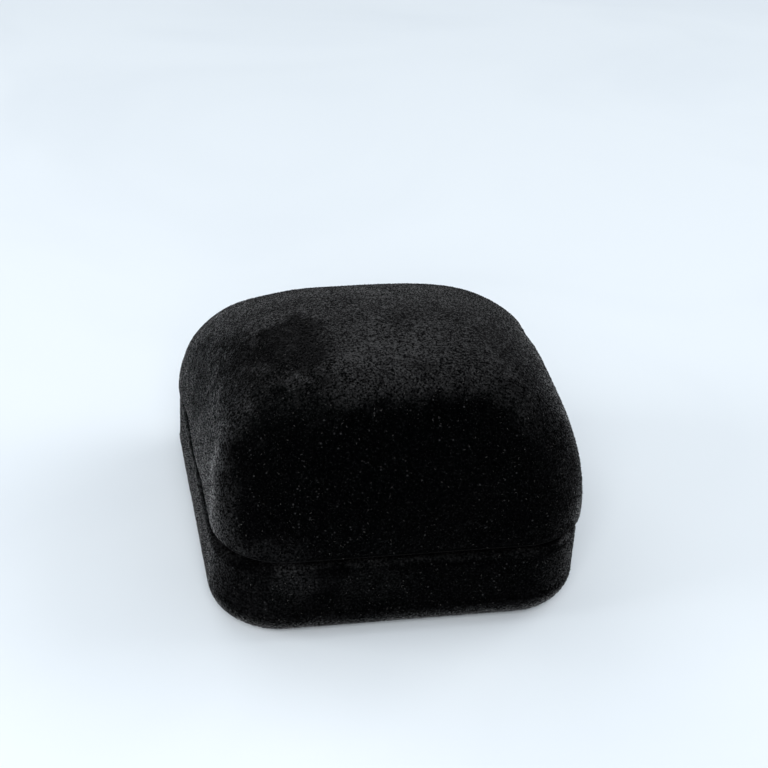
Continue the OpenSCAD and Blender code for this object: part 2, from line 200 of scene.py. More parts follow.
class Shade(Graph):
    """Shader tree of one material, on Object coordinates."""

    def __init__(self, name: str) -> None:
        """Starts a material.

        Args:
            name: Its name.
        """
        self.material = bpy.data.materials.new(name)
        self.material.use_nodes = True
        super().__init__(self.material.node_tree)
        self.tree.nodes.clear()
        self.place = self.signal("ShaderNodeTexCoord", output="Object")

    def nap_and_light(self) -> Signal:
        """How the pile lies, crushed at 0, hanging at 0.5 and standing at 1, with painted light in it:
        standing pile on upward faces is painted light from above, crushed pile by the parting line is
        painted shade.
        """
        return self.signal("ShaderNodeAttribute", {"attribute_name": "nap_and_light"}, output="Fac")

    def stretched(self, scale: Point) -> Signal:
        """Object coordinates scaled apart along each axis."""
        return self.signal("ShaderNodeMapping", {}, {"Vector": self.place, "Scale": scale})

    def noise(self, size: float, detail: float = 2.0, roughness: float = 0.5, distortion: float = 0.0,
              place: Signal | None = None) -> Signal:
        """Noise whose lumps have a size.

        Args:
            size: Size of the lumps in millimetres, or of a unit of a stretched place.
            detail: Octaves added.
            roughness: Share of each further octave.
            distortion: How far the lumps are warped.
            place: Coordinates, or the object's own.

        Returns:
            The noise, from zero to one.
        """
        return self.signal("ShaderNodeTexNoise", {}, {
            "Vector": place or self.place, "Scale": 1.0 / (size * MM), "Detail": detail,
            "Roughness": roughness, "Distortion": distortion})

    def cells(self, size: float, place: Signal | None = None) -> Signal:
        """Distance to the nearest of points scattered size millimetres apart, as a share of that size."""
        return self.signal("ShaderNodeTexVoronoi", {}, {
            "Vector": place or self.place, "Scale": 1.0 / (size * MM)}, "Distance")

    def blob(self, centre: Point, size: Point, core: float, uneven: Signal) -> Signal:
        """Soft patch that is one in its core and zero outside its size.

        Args:
            centre: Middle of the patch in millimetres.
            size: Half its length along each axis in millimetres.
            core: Share of its size within which it is one.
            uneven: How far its edge wanders, as a share of its size.

        Returns:
            The patch.
        """
        place = self.signal("ShaderNodeMapping", {}, {
            "Vector": self.place, "Scale": tuple(1.0 / (s * MM) for s in size),
            "Location": tuple(-c / s for c, s in zip(centre, size))})
        length = self.signal("ShaderNodeVectorMath", {"operation": "LENGTH"}, {0: place}, "Value")
        return 1.0 - (length + uneven).ramp(core, 1.0)

    def mix_color(self, factor: Any, first: Any, second: Any) -> Signal:
        """Blends two colours.

        Args:
            factor: Share of the second colour.
            first: First colour or signal.
            second: Second colour or signal.

        Returns:
            The blend.
        """
        def rgba(color: Any) -> Any:
            """A colour with its alpha, or a signal as it is."""
            return color if isinstance(color, Signal) else (*color, 1.0)
        return self.signal("ShaderNodeMix", {"data_type": "RGBA"},
                           {0: factor, 6: rgba(first), 7: rgba(second)}, 2)

    def bump(self, height: Signal, depth: float, strength: float) -> Signal:
        """Normal of a pattern of heights, which is depth millimetres high."""
        return self.signal("ShaderNodeBump", {}, {
            "Height": height, "Distance": depth * MM, "Strength": strength})

    def surface(self, inputs: dict[str, Any]) -> Signal:
        """A principled surface with those values or links in its sockets."""
        return self.signal("ShaderNodeBsdfPrincipled", {}, inputs)

    def finish(self, shader: Signal) -> Material:
        """Ends the tree with a shader and gives its material."""
        self.node("ShaderNodeOutputMaterial", {}, {"Surface": shader})
        return self.material

    def finish_pile(self, color: Signal, factor: Signal, sheens: tuple[float, float],
                    inputs: dict[str, Any]) -> Material:
        """Ends the tree in matt pile whose sheen changes over the surface.

        Args:
            color: Colour of the pile.
            factor: Where the sheen lies between its two strengths.
            sheens: Sheen where the factor is zero, and where it is one.
            inputs: Values or links of further sockets.

        Returns:
            The material.
        """
        dull, bright = (
            self.surface({"Base Color": color, "Roughness": 1.0, "Specular IOR Level": 0.0,
                          "Sheen Weight": sheen, **inputs})
            for sheen in sheens)
        return self.finish(self.signal("ShaderNodeMixShader", {}, {0: factor, 1: dull, 2: bright}))


# ---- finishes ----


@dataclass(frozen=True)
class NapAndLightPatch:
    """Place that is darker or lighter: where the nap was stroked flat or brushed up, and on others painted
    shade and painted highlights.

    Attributes:
        centre: Middle of the patch.
        size: Half its length along each axis.
        depth: Share of the light that it takes away. Where it is negative, the patch is lighter instead.
        core: Share of its size within which it is full.
    """

    centre: Point
    size: Point
    depth: float
    core: float = 0.3


# Centre, half lengths, depth and core of each patch on the outer velvet. Besides brushed nap they hold
# painted light: painted shade on the right flank, on the right of the base and in the groove along the left
# side, painted light that lifts the front groove out of its shade, and a painted highlight on the base's rim
# at the front right corner.
NAP_AND_LIGHT_PATCHES = tuple(NapAndLightPatch(*row) for row in (
    ((-14.4, -11.8, 37), (7.4, 9.8, 9), 0.7, 0.55),
    ((-16, -23, 33.2), (8, 6.5, 7), 0.7, 0.4),
    ((-20.5, -9, 32.5), (8.5, 10, 8), 0.5, 0.3),
    ((-26, 1, 24), (5, 15, 11), 0.5, 0.2),
    ((-18, -14.5, 35), (6, 7, 4), 0.38, 0.4),
    ((-11.5, -21.5, 36), (5.5, 4, 3), 0.35, 0.4),
    ((-23.4, -2, 30.6), (4, 6.5, 5), 0.45, 0.4),
    ((-21.2, -7.5, 33.5), (3.5, 5, 4), 0.35, 0.3),
    ((-23.8, -13.5, 29.3), (2.6, 5, 3.5), 0.45, 0.3),
    ((-26.8, 10, 17), (2.5, 7, 6), 0.3, 0.4),
    ((-21.3, -16.5, 32.3), (2.2, 3.5, 3), -0.4, 0.3),
    ((-8.2, -18.8, 38), (3, 4, 3), -0.25, 0.3),
    ((7, -18.5, 37.8), (9, 4, 3), -0.15, 0.4),
    ((14.5, -24.5, 34.5), (5.5, 5, 4.5), 0.45, 0.3),
    # Painted shade on the right flank of the lid.
    ((25.5, -22, 25), (4, 6, 8), 0.42, 0.4),
    ((-25, 10.5, 26), (5, 8.5, 9), 0.26, 0.4),
    ((-27, -4, 10), (2, 24, 5), 0.2, 0.5),
    # Painted shade in the groove along the left side.
    ((-26.8, 4, 12.9), (2.5, 24, 1.5), 0.85, 0.4),
    ((-2.5, -14.5, 38.7), (11, 10, 5), -0.45, 0.3),
    ((-5.5, -17.5, 38.3), (7, 4.5, 3), -0.35, 0.4),
    ((-22.3, -18.5, 29.8), (2.8, 5, 5), -0.9, 0.2),
    ((-25, -19, 25.8), (3, 5, 5), -0.5, 0.4),
    ((-25.5, -23, 17.5), (5, 7, 9), -0.9, 0.3),
    ((-18, -28.5, 7.5), (12, 6, 9), -0.3, 0.2),
    ((-15.3, -29.8, 10.2), (6.5, 4, 4), -0.8, 0.2),
    ((-5, -29.8, 9), (9, 3, 4.5), -0.32, 0.3),
    ((-19, -29.4, 14.5), (6, 3, 4), -0.5, 0.3),
    # Painted shade on the right of the lid and the base.
    ((22.8, -24, 25.5), (4, 4.5, 5.5), 0.4, 0.4),
    ((24.5, -26, 7.5), (5.5, 7, 7.5), 0.55, 0.4),
    # Painted light that lifts the front groove out of its shade.
    ((-4, -29.1, 12.2), (22, 1.2, 0.8), -0.55, 0.3),
    ((15.5, -29.1, 12.1), (6.5, 1.6, 0.9), -0.5, 0.3),
    ((22.8, -27.6, 14.3), (3.5, 3, 1.6), 0.6, 0.4),
    # Painted highlight on the base's rim at the front right corner.
    ((23.6, -26.7, 12.05), (4.5, 4, 0.55), -4.5, 0.1)))


@dataclass(frozen=True)
class VelvetFinish:
    """Black velvet, whose look follows the lie of its pile, the places that were brushed, and painted light:
    lighter where the pile stands on upward faces, darker in the groove, and the painted shade and highlights
    of some patches.

    Attributes:
        name: Name of the material.
        deep: Colour into the pile.
        lit_tips: Colour of the tips where the pile stands, at their brightest. The pile stands on what faces
            up, so this colour is painted light from above.
        sheen: Sheen of hanging pile, at its brightest.
        crushed_sheen: Sheen of crushed pile.
        crown_share: Sheen of standing pile as a share of that of hanging pile.
        sheen_roughness: Roughness of the sheen.
        grain: Size of the clumps of pile.
        mottle: Size of the patches of the nap.
        mottle_depth: How strongly the patches differ.
        glint: Mean share of its brightness that a clump shows.
        grain_contrast: How strongly neighbouring clumps differ.
        clump_contrast: How strongly groups of clumps differ.
        ragged: How far the edges of the brushed places wander, as a share of their size.
        patches: Places that were brushed, and places of painted shade and painted highlights.
    """

    name: str
    deep: Color = (0.0003, 0.0003, 0.0004)
    lit_tips: Color = (0.0355, 0.0355, 0.0363)
    sheen: float = 0.65
    crushed_sheen: float = 0.015
    crown_share: float = 0.34
    sheen_roughness: float = 0.31
    grain: float = 0.32
    mottle: float = 12.0
    mottle_depth: float = 0.35
    glint: float = 0.4
    grain_contrast: float = 3.9
    clump_contrast: float = 0.9
    ragged: float = 1.7
    patches: tuple[NapAndLightPatch, ...] = ()

    def build(self) -> Material:
        """Makes the finish.

        Returns:
            The material.
        """
        shade = Shade(self.name)
        nap_and_light = shade.nap_and_light()
        grain = shade.noise(self.grain, 2.0, 0.7)
        clump = shade.noise(self.grain * 3.1, 1.0)
        mottle = shade.noise(self.mottle, 2.0, 0.55, 0.5)
        lie_and_shade = 1.0 - mottle.ramp(0.62, 0.36) * self.mottle_depth
        raised_and_lit = shade.noise(self.mottle * 0.4, 1.0).ramp(0.6, 0.9) * 0.2
        uneven = (shade.noise(4.0, 3.0, 0.6) - 0.5) * self.ragged
        # Patches darken the pile's colour and sheen, and lighten them where their depth is negative. Among
        # them are painted shade and painted highlights.
        for patch in self.patches:
            spot = shade.blob(patch.centre, patch.size, patch.core, uneven) * abs(patch.depth)
            if patch.depth > 0:
                lie_and_shade = lie_and_shade * (1.0 - spot)
            else:
                raised_and_lit = raised_and_lit + spot
        lively = self.glint + (grain - 0.5) * self.grain_contrast + (clump - 0.5) * self.clump_contrast
        lively = lively.at_least(0.02)
        # Standing pile, on upward faces, takes the lighter tip colour: painted light from above.
        standing_and_lit = nap_and_light.ramp(0.5, 1.0)
        hanging = nap_and_light.ramp(0.0, 0.5) * (1.0 - standing_and_lit * (1.0 - self.crown_share))
        factor = (hanging * lie_and_shade * lively * (1.0 + raised_and_lit)).at_most(1.0)
        away = shade.cells(self.grain * 3.4) + (grain - 0.5) * 0.16
        speck = (0.15 - away).ramp(0.0, 0.07) * shade.noise(1.7, 0.0).ramp(0.38, 0.62)
        stray = (grain - 0.6).at_least(0.0)
        # Share of the tip colour: painted light on upward faces, and painted highlights on some patches
        # besides brushed nap.
        upright_and_lit = standing_and_lit * lie_and_shade * (1.0 + raised_and_lit) + raised_and_lit * 0.25
        color = shade.mix_color((upright_and_lit * lively + stray).at_most(1.0), self.deep, self.lit_tips)
        color = shade.mix_color(speck * 0.4, color, tuple(c * 1.5 for c in self.lit_tips))
        normal = shade.bump(grain * 0.7 + clump * 0.3, 0.16, 0.8)
        return shade.finish_pile(color, factor, (self.crushed_sheen, self.sheen), {
            "Sheen Roughness": self.sheen_roughness, "Sheen Tint": (0.97, 0.98, 1.0, 1.0), "Normal": normal})


@dataclass(frozen=True)
class TuftFinish:
    """Single tufts of black velvet, which catch the light where the pile hangs, and are paler where the pile
    stands on upward faces, as painted light from above.

    Attributes:
        name: Name of the material.
        deep: Colour of most tufts.
        pale: Colour of the palest tufts, most of them where the pile stands on upward faces, as painted
            light from above.
        sheen: Sheen of hanging tufts.
        sheen_roughness: Roughness of the sheen.
        clump: Size of the clumps that share a shade.
    """

    name: str = "velvet_tuft"
    deep: Color = (0.0003, 0.0003, 0.0004)
    pale: Color = (0.019, 0.019, 0.0192)
    sheen: float = 0.055
    sheen_roughness: float = 0.35
    clump: float = 0.22

    def build(self) -> Material:
        """Makes the finish.

        Returns:
            The material.
        """
        shade = Shade(self.name)
        nap_and_light = shade.nap_and_light()
        stray = shade.noise(self.clump, 0.0)
        # Paler tufts where the pile stands on upward faces: painted light from above.
        share = stray.ramp(0.56, 0.76) * (0.3 + nap_and_light * 0.7) + nap_and_light.ramp(0.5, 1.0) * stray * 0.9
        color = shade.mix_color(share.at_most(1.0), self.deep, self.pale)
        factor = nap_and_light.ramp(0.0, 0.5) * (0.25 + stray * 0.9).at_most(1.0)
        return shade.finish_pile(color, factor, (0.0, self.sheen), {"Sheen Roughness": self.sheen_roughness})


@dataclass(frozen=True)
class FibreFinish:
    """One plain fibre, the same all along.

    Attributes:
        name: Name of the material.
        color: Colour of the fibre.
    """

    name: str
    color: Color

    def build(self) -> Material:
        """Makes the finish.

        Returns:
            The material.
        """
        shade = Shade(self.name)
        return shade.finish(shade.surface({
            "Base Color": (*self.color, 1.0), "Roughness": 0.9, "Specular IOR Level": 0.0}))


@dataclass(frozen=True)
class SatinFinish:
    """Woven satin with long floats and faint slubs.

    Attributes:
        name: Name of the material.
        light: Colour of the floats.
        deep: Colour between them.
        thread: Width of a thread.
    """

    name: str = "ivory_satin"
    light: Color = (0.76, 0.715, 0.62)
    deep: Color = (0.69, 0.64, 0.54)
    thread: float = 0.16

    def build(self) -> Material:
        """Makes the finish.

        Returns:
            The material.
        """
        shade = Shade(self.name)
        floats = shade.noise(self.thread, 1.0, 0.5, 0.0, shade.stretched((1.0, 0.12, 0.12)))
        slubs = shade.noise(1.2, 2.0, 0.6, 0.0, shade.stretched((0.08, 1.0, 1.0)))
        shadow = shade.noise(9.0, 2.0)
        color = shade.mix_color(floats.ramp(0.35, 0.62), self.deep, self.light)
        color = shade.mix_color(slubs.ramp(0.62, 0.8) * 0.35, color, self.deep)
        color = shade.mix_color(shadow.ramp(0.3, 0.7) * 0.12, color, self.deep)
        return shade.finish(shade.surface({
            "Base Color": color, "Roughness": 0.36 + floats * 0.16, "Specular IOR Level": 0.5,
            "Sheen Weight": 0.2, "Sheen Roughness": 0.3,
            "Normal": shade.bump(floats * 0.8 + slubs * 0.2, 0.03, 0.6)}))


@dataclass(frozen=True)
class SteelFinish:
    """Plated steel with fine lines from drawing or tumbling.

    Attributes:
        name: Name of the material.
        color: Colour of the plating.
        worn: Colour where the plating is rubbed.
        roughness: Mean roughness.
        line: Width of the lines.
        run: How much longer than wide the lines are along X.
    """

    name: str
    color: Color
    worn: Color
    roughness: float = 0.28
    line: float = 0.06
    run: float = 14.0

    def build(self) -> Material:
        """Makes the finish.

        Returns:
            The material.
        """
        shade = Shade(self.name)
        lines = shade.noise(self.line, 2.0, 0.6, 0.0, shade.stretched((1.0 / self.run, 1.0, 1.0)))
        rub = shade.noise(1.8, 3.0, 0.6)
        wear = rub.ramp(0.52, 0.72)
        color = shade.mix_color(wear * 0.6, self.color, self.worn)
        return shade.finish(shade.surface({
            "Base Color": color, "Metallic": 1.0,
            "Roughness": self.roughness + lines * 0.14 + wear * 0.12,
            "Normal": shade.bump(lines, 0.008, 0.5)}))


@dataclass(frozen=True)
class FleckedFinish:
    """Matt stuff with a grain and flecks: plastic, board, foam or wadding.

    Attributes:
        name: Name of the material.
        color: Main colour.
        fleck: Colour of the flecks or pores.
        grain: Size of the grain.
        depth: Depth of the grain.
        roughness: Mean roughness.
        amount: Share of the surface that is flecked.
        run: How much longer than wide the grain is along X.
        gloss: Specular level.
    """

    name: str
    color: Color
    fleck: Color
    grain: float
    depth: float
    roughness: float = 0.8
    amount: float = 0.4
    run: float = 1.0
    gloss: float = 0.3

    def build(self) -> Material:
        """Makes the finish.

        Returns:
            The material.
        """
        shade = Shade(self.name)
        place = shade.stretched((1.0 / self.run, 1.0, 1.0))
        grain = shade.noise(self.grain, 4.0, 0.65, 0.3, place)
        pores = shade.cells(self.grain * 1.6, place)
        flecks = grain.ramp(0.62 - 0.3 * self.amount, 0.72 - 0.1 * self.amount)
        color = shade.mix_color(flecks * 0.8, self.color, self.fleck)
        color = shade.mix_color((1.0 - pores.ramp(0.1, 0.45)) * self.amount * 0.6, color, self.fleck)
        return shade.finish(shade.surface({
            "Base Color": color, "Roughness": self.roughness + grain * 0.15,
            "Specular IOR Level": self.gloss,
            "Normal": shade.bump(grain * 0.6 + pores * 0.4, self.depth, 0.8)}))


@dataclass(frozen=True)
class FloorFinish:
    """Pale matt floor with a faint cloudiness.

    Attributes:
        name: Name of the material.
        pale: Main colour.
        shaded: Colour of the cloudy places.
    """

    name: str = "pale_floor"
    pale: Color = (0.723, 0.771, 0.812)
    shaded: Color = (0.692, 0.741, 0.785)

    def build(self) -> Material:
        """Makes the finish.

        Returns:
            The material.
        """
        shade = Shade(self.name)
        clouds = shade.noise(90.0, 3.0, 0.5, 0.8)
        return shade.finish(shade.surface({
            "Base Color": shade.mix_color(clouds.ramp(0.4, 0.7), self.pale, self.shaded),
            "Roughness": 0.9, "Specular IOR Level": 0.1,
            "Normal": shade.bump(clouds, 1.5, 0.3)}))


# ---- meshes ----


def extent(node: str) -> tuple[Array, Array]:
    """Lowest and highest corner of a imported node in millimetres."""
    low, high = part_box(node)
    return np.array(low) / MM, np.array(high) / MM


def smoothstep(low: float, high: float, value: Array) -> Array:
    """Smooth step from zero at low to one at high."""
    share = np.clip((value - low) / (high - low), 0.0, 1.0)
    return share * share * (3.0 - 2.0 * share)


def soft_min(first: Array, second: Array, blend: float) -> Array:
    """Smaller of two values, rounded off where they differ by less than blend."""
    share = np.clip(0.5 + 0.5 * (second - first) / blend, 0.0, 1.0)
    return second + (first - second) * share - blend * share * (1.0 - share)


def grid_normals(grid: Array) -> Array:
    """Outward normals of a grid of rows whose columns run round.

    Args:
        grid: Points, as rows by columns by three.

    Returns:
        Unit normals of the same shape.
    """
    round_way = np.roll(grid, -1, axis=1) - np.roll(grid, 1, axis=1)
    up_way = np.gradient(grid, axis=0)
    normal = np.cross(round_way, up_way)
    return normal / np.maximum(np.linalg.norm(normal, axis=2, keepdims=True), 1e-9)


def undulation(points: Array, size: float, seed: int) -> Array:
    """Gentle waves over space, mostly between minus one and one.

    Args:
        points: Places, with three numbers each.
        size: Length of the waves.
        seed: Seed of their directions.

    Returns:
        The height of the waves at each place.
    """
    rng = np.random.default_rng(seed)
    total = np.zeros(points.shape[:-1])
    count = 7
    for _ in range(count):
        way = rng.normal(size=3)
        way *= 2.0 * math.pi / (size * rng.uniform(0.7, 1.5) * np.linalg.norm(way))
        total += np.sin(points @ way + rng.uniform(0.0, 2.0 * math.pi))
    return total / math.sqrt(count)


class Columns:
    """Columns of points round a rounded rectangle, counter-clockwise from above.

    The four sides and four corners keep their counts whatever the size, so rings of different sizes join up.
    """

    def __init__(self, side_x: Array, side_y: Array, corner: int) -> None:
        """Takes the shares of each side at which a column stands.

        Args:
            side_x: Shares along a side that runs along X, from zero to below one.
            side_y: Shares along a side that runs along Y.
            corner: Columns round each corner.
        """
        self.side_x = side_x
        self.side_y = side_y
        self.turn = np.arange(corner) / corner * math.pi / 2.0

    @classmethod
    def even(cls, width: float, depth: float, radius: float, step: float) -> "Columns":
        """Evenly spaced columns.

        Args:
            width: Width of the rectangle.
            depth: Depth of the rectangle.
            radius: Radius of its corners.
            step: Spacing of the columns.

        Returns:
            The columns.
        """
        def shares(length: float) -> Array:
            """Even shares of a side."""
            count = max(int(round(length / step)), 2)
            return np.arange(count) / count
        corner = max(int(round(radius * math.pi / 2.0 / step)), 4)
        return cls(shares(width - 2 * radius), shares(depth - 2 * radius), corner)

    @classmethod
    def with_edges(cls, width: float, depth: float, radius: float, step: float, edge: float) -> "Columns":
        """Even columns, and close ones near two edges of a notch.

        Args:
            width: Width of the rectangle.
            depth: Depth of the rectangle.
            radius: Radius of its corners.
            step: Spacing of the columns.
            edge: Distance of each edge of the notch from the middle.

        Returns:
            The columns.
        """
        plain = cls.even(width, depth, radius, step)
        side = width - 2 * radius
        near = 0.8
        close = np.arange(-near, near, step / 4)
        even = (plain.side_x - 0.5) * side
        even = even[abs(abs(even) - edge) > near]
        shares = np.sort(np.concatenate([even, edge + close, close - edge])) / side + 0.5
        return cls(shares[(shares >= 0) & (shares < 1)], plain.side_y, len(plain.turn))

    def rings(self, low_x: Any, high_x: Any, low_y: Any, high_y: Any, radius: Any) -> Array:
        """Points of one or more rings.

        Args:
            low_x: Lowest X of each ring.
            high_x: Highest X.
            low_y: Lowest Y.
            high_y: Highest Y.
            radius: Radius of the corners, or four radii from the north-east one round.

        Returns:
            Points, as rings by columns by two.
        """
        low_x, high_x, low_y, high_y = (np.atleast_1d(np.asarray(v, float))[:, None]
                                        for v in (low_x, high_x, low_y, high_y))
        radii = radius if isinstance(radius, (list, tuple)) else [radius] * 4
        ne, nw, sw, se = (np.atleast_1d(np.asarray(r, float))[:, None] for r in radii)
        pieces = []

        def straight(start: tuple, end: tuple, shares: Array) -> None:
            """Adds the columns of a side."""
            pieces.append(np.stack([start[i] + (end[i] - start[i]) * shares for i in (0, 1)], axis=-1))

        def corner(x: Array, y: Array, r: Array, quarter: int) -> None:
            """Adds the columns of a corner."""
            turn = self.turn + quarter * math.pi / 2.0
            pieces.append(np.stack([x + r * np.cos(turn), y + r * np.sin(turn)], axis=-1))

        straight((high_x, low_y + se), (high_x, high_y - ne), self.side_y)
        corner(high_x - ne, high_y - ne, ne, 0)
        straight((high_x - ne, high_y), (low_x + nw, high_y), self.side_x)
        corner(low_x + nw, high_y - nw, nw, 1)
        straight((low_x, high_y - nw), (low_x, low_y + sw), self.side_y)
        corner(low_x + sw, low_y + sw, sw, 2)
        straight((low_x + sw, low_y), (high_x - se, low_y), self.side_x)
        corner(high_x - se, low_y + se, se, 3)
        count = max(p.shape[0] for p in pieces)
        return np.concatenate([np.broadcast_to(p, (count, *p.shape[1:])) for p in pieces], axis=1)


def loft(name: str, rows: Array, endless: bool = False, poles: tuple[Array, Array] | None = None,
         scale: float = MM) -> Piece:
    """Mesh through rows of points whose columns run round.

    Args:
        name: Name of the piece.
        rows: Points in millimetres, as rows by columns by three.
        endless: Whether the last row joins the first. If not, a pole closes each end.
        poles: Poles of the first and the last row, or none for the middle of each.
        scale: Metres for each millimetre of the rows.

    Returns:
        The piece.
    """
    count, columns = rows.shape[:2]
    index = np.arange(count * columns).reshape(count, columns)
    below = index if endless else index[:-1]
    above = np.roll(index, -1, axis=0) if endless else index[1:]
    quads = np.stack([below, np.roll(below, -1, axis=1), np.roll(above, -1, axis=1), above], axis=-1)
    faces = quads.reshape(-1, 4).tolist()
    points = rows.reshape(-1, 3)
    if not endless:
        first, last = len(points), len(points) + 1
        points = np.vstack([points, *(poles or (rows[0].mean(axis=0), rows[-1].mean(axis=0)))])
        faces += [[int(b), int(a), first] for a, b in zip(index[0], np.roll(index[0], -1))]
        faces += [[int(a), int(b), last] for a, b in zip(index[-1], np.roll(index[-1], -1))]
    return new_object(name, points * scale, faces)


def sheet_faces(rows: int, columns: int) -> list[list[int]]:
    """Faces of a sheet of points.

    Args:
        rows: Rows of points.
        columns: Columns of points.

    Returns:
        Vertex numbers of each face.
    """
    index = np.arange(rows * columns).reshape(rows, columns)
    quads = np.stack([index[:-1, :-1], index[:-1, 1:], index[1:, 1:], index[1:, :-1]], axis=-1)
    return quads.reshape(-1, 4).tolist()


def new_object(name: str, points: Array, faces: list[list[int]]) -> Piece:
    """Makes a smooth mesh object at the origin.

    Args:
        name: Name of the piece.
        points: Vertices in metres.
        faces: Vertex numbers of each face.

    Returns:
        The piece.
    """
    mesh = bpy.data.meshes.new(name)
    mesh.from_pydata(points.tolist(), [], faces)
    mesh.shade_smooth()
    mesh.update()
    return link_object(name, mesh)


def link_object(name: str, data: bpy.types.ID) -> Piece:
    """Puts a mesh, lamp or camera in the scene as an object at the origin.

    Args:
        name: Name of the object.
        data: The mesh, lamp or camera.

    Returns:
        The object.
    """
    obj = bpy.data.objects.new(name, data)
    bpy.context.scene.collection.objects.link(obj)
    return obj


def drop_object(obj: Piece) -> None:
    """Takes a helper object out of the file, with its mesh."""
    bpy.data.meshes.remove(obj.data)


def plain_copy(obj: Piece, name: str) -> Piece:
    """Copies an object's evaluated mesh into a new object with no modifiers.

    Args:
        obj: The object, with live modifiers.
        name: Name of the new piece.

    Returns:
        The new object.
    """
    graph = bpy.context.evaluated_depsgraph_get()
    mesh = bpy.data.meshes.new_from_object(obj.evaluated_get(graph))
    mesh.name = name
    return link_object(name, mesh)


def finished(obj: Piece, name: str) -> Piece:
    """Subdivides a helper object once, copies it into a new piece and drops it.

    Args:
        obj: The helper object.
        name: Name of the new piece.

    Returns:
        The new piece.
    """
    smooth = obj.modifiers.new("smooth", "SUBSURF")
    smooth.levels = smooth.render_levels = 1
    made = plain_copy(obj, name)
    drop_object(obj)
    return made


def read_vectors(items: Any, key: str) -> Array:
    """Reads a vector of each item.

    Args:
        items: Vertices or vertex normals of a mesh.
        key: Name of the vector.

    Returns:
        One row for each item.
    """
    flat = np.zeros(len(items) * 3, np.float32)
    items.foreach_get(key, flat)
    return flat.reshape(-1, 3)


def read_points(mesh: bpy.types.Mesh) -> Array:
    """Vertices of a mesh."""
    return read_vectors(mesh.vertices, "co").astype(float)


def eased(obj: Piece, values: Array, rounds: int) -> Array:
    """Evens out values over neighbouring vertices.

    Args:
        obj: The piece.
        values: One row for each vertex.
        rounds: How often each vertex is drawn towards its neighbours.

    Returns:
        The evened values.
    """
    edges = np.zeros(len(obj.data.edges) * 2, np.int32)
    obj.data.edges.foreach_get("vertices", edges)
    first, second = edges.reshape(-1, 2).T
    count = np.bincount(edges, minlength=len(values))[:, None]
    for _ in range(rounds):
        total = np.zeros_like(values)
        np.add.at(total, first, values[second])
        np.add.at(total, second, values[first])
        values = values * 0.4 + total / count * 0.6
    return values


def write_points(obj: Piece, points: Array) -> None:
    """Moves the vertices of an object's mesh."""
    obj.data.vertices.foreach_set("co", points.astype(np.float32).ravel())
    obj.data.update()


def dress(obj: Piece, body: Body, slot: Slot, material: Material, *nodes: str) -> Piece:
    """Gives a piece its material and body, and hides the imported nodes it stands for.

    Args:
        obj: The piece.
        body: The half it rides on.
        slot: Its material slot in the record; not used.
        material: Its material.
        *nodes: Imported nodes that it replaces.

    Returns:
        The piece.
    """
    obj.data.materials.clear()
    obj.data.materials.append(material)
    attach(obj, body.value)
    if nodes:
        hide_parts(*nodes)
    LOG.info("%s: %d faces on %s", obj.name, len(obj.data.polygons), body.value)
    return obj


def dress_node(node: str, material: Material) -> None:
    """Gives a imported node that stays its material.

    Args:
        node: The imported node.
        material: Its material.
    """
    mesh = frame["nodes"][node].data
    mesh.materials.clear()
    mesh.materials.append(material)
    LOG.info("%s: packed node dressed", node)


# ---- the box's own shape ----


@dataclass(frozen=True)
class Flank:
    """Section of one side of the dome, from the parting line to the crown.

    Attributes:
        rise: Power of the height.
        square: Power of the reach.
    """

    rise: float
    square: float

    def reach(self, height: Any) -> Any:
        """Distance from the crown's axis at a height, both as shares of the full ones."""
        return (1.0 - height ** self.rise) ** (1.0 / self.square)


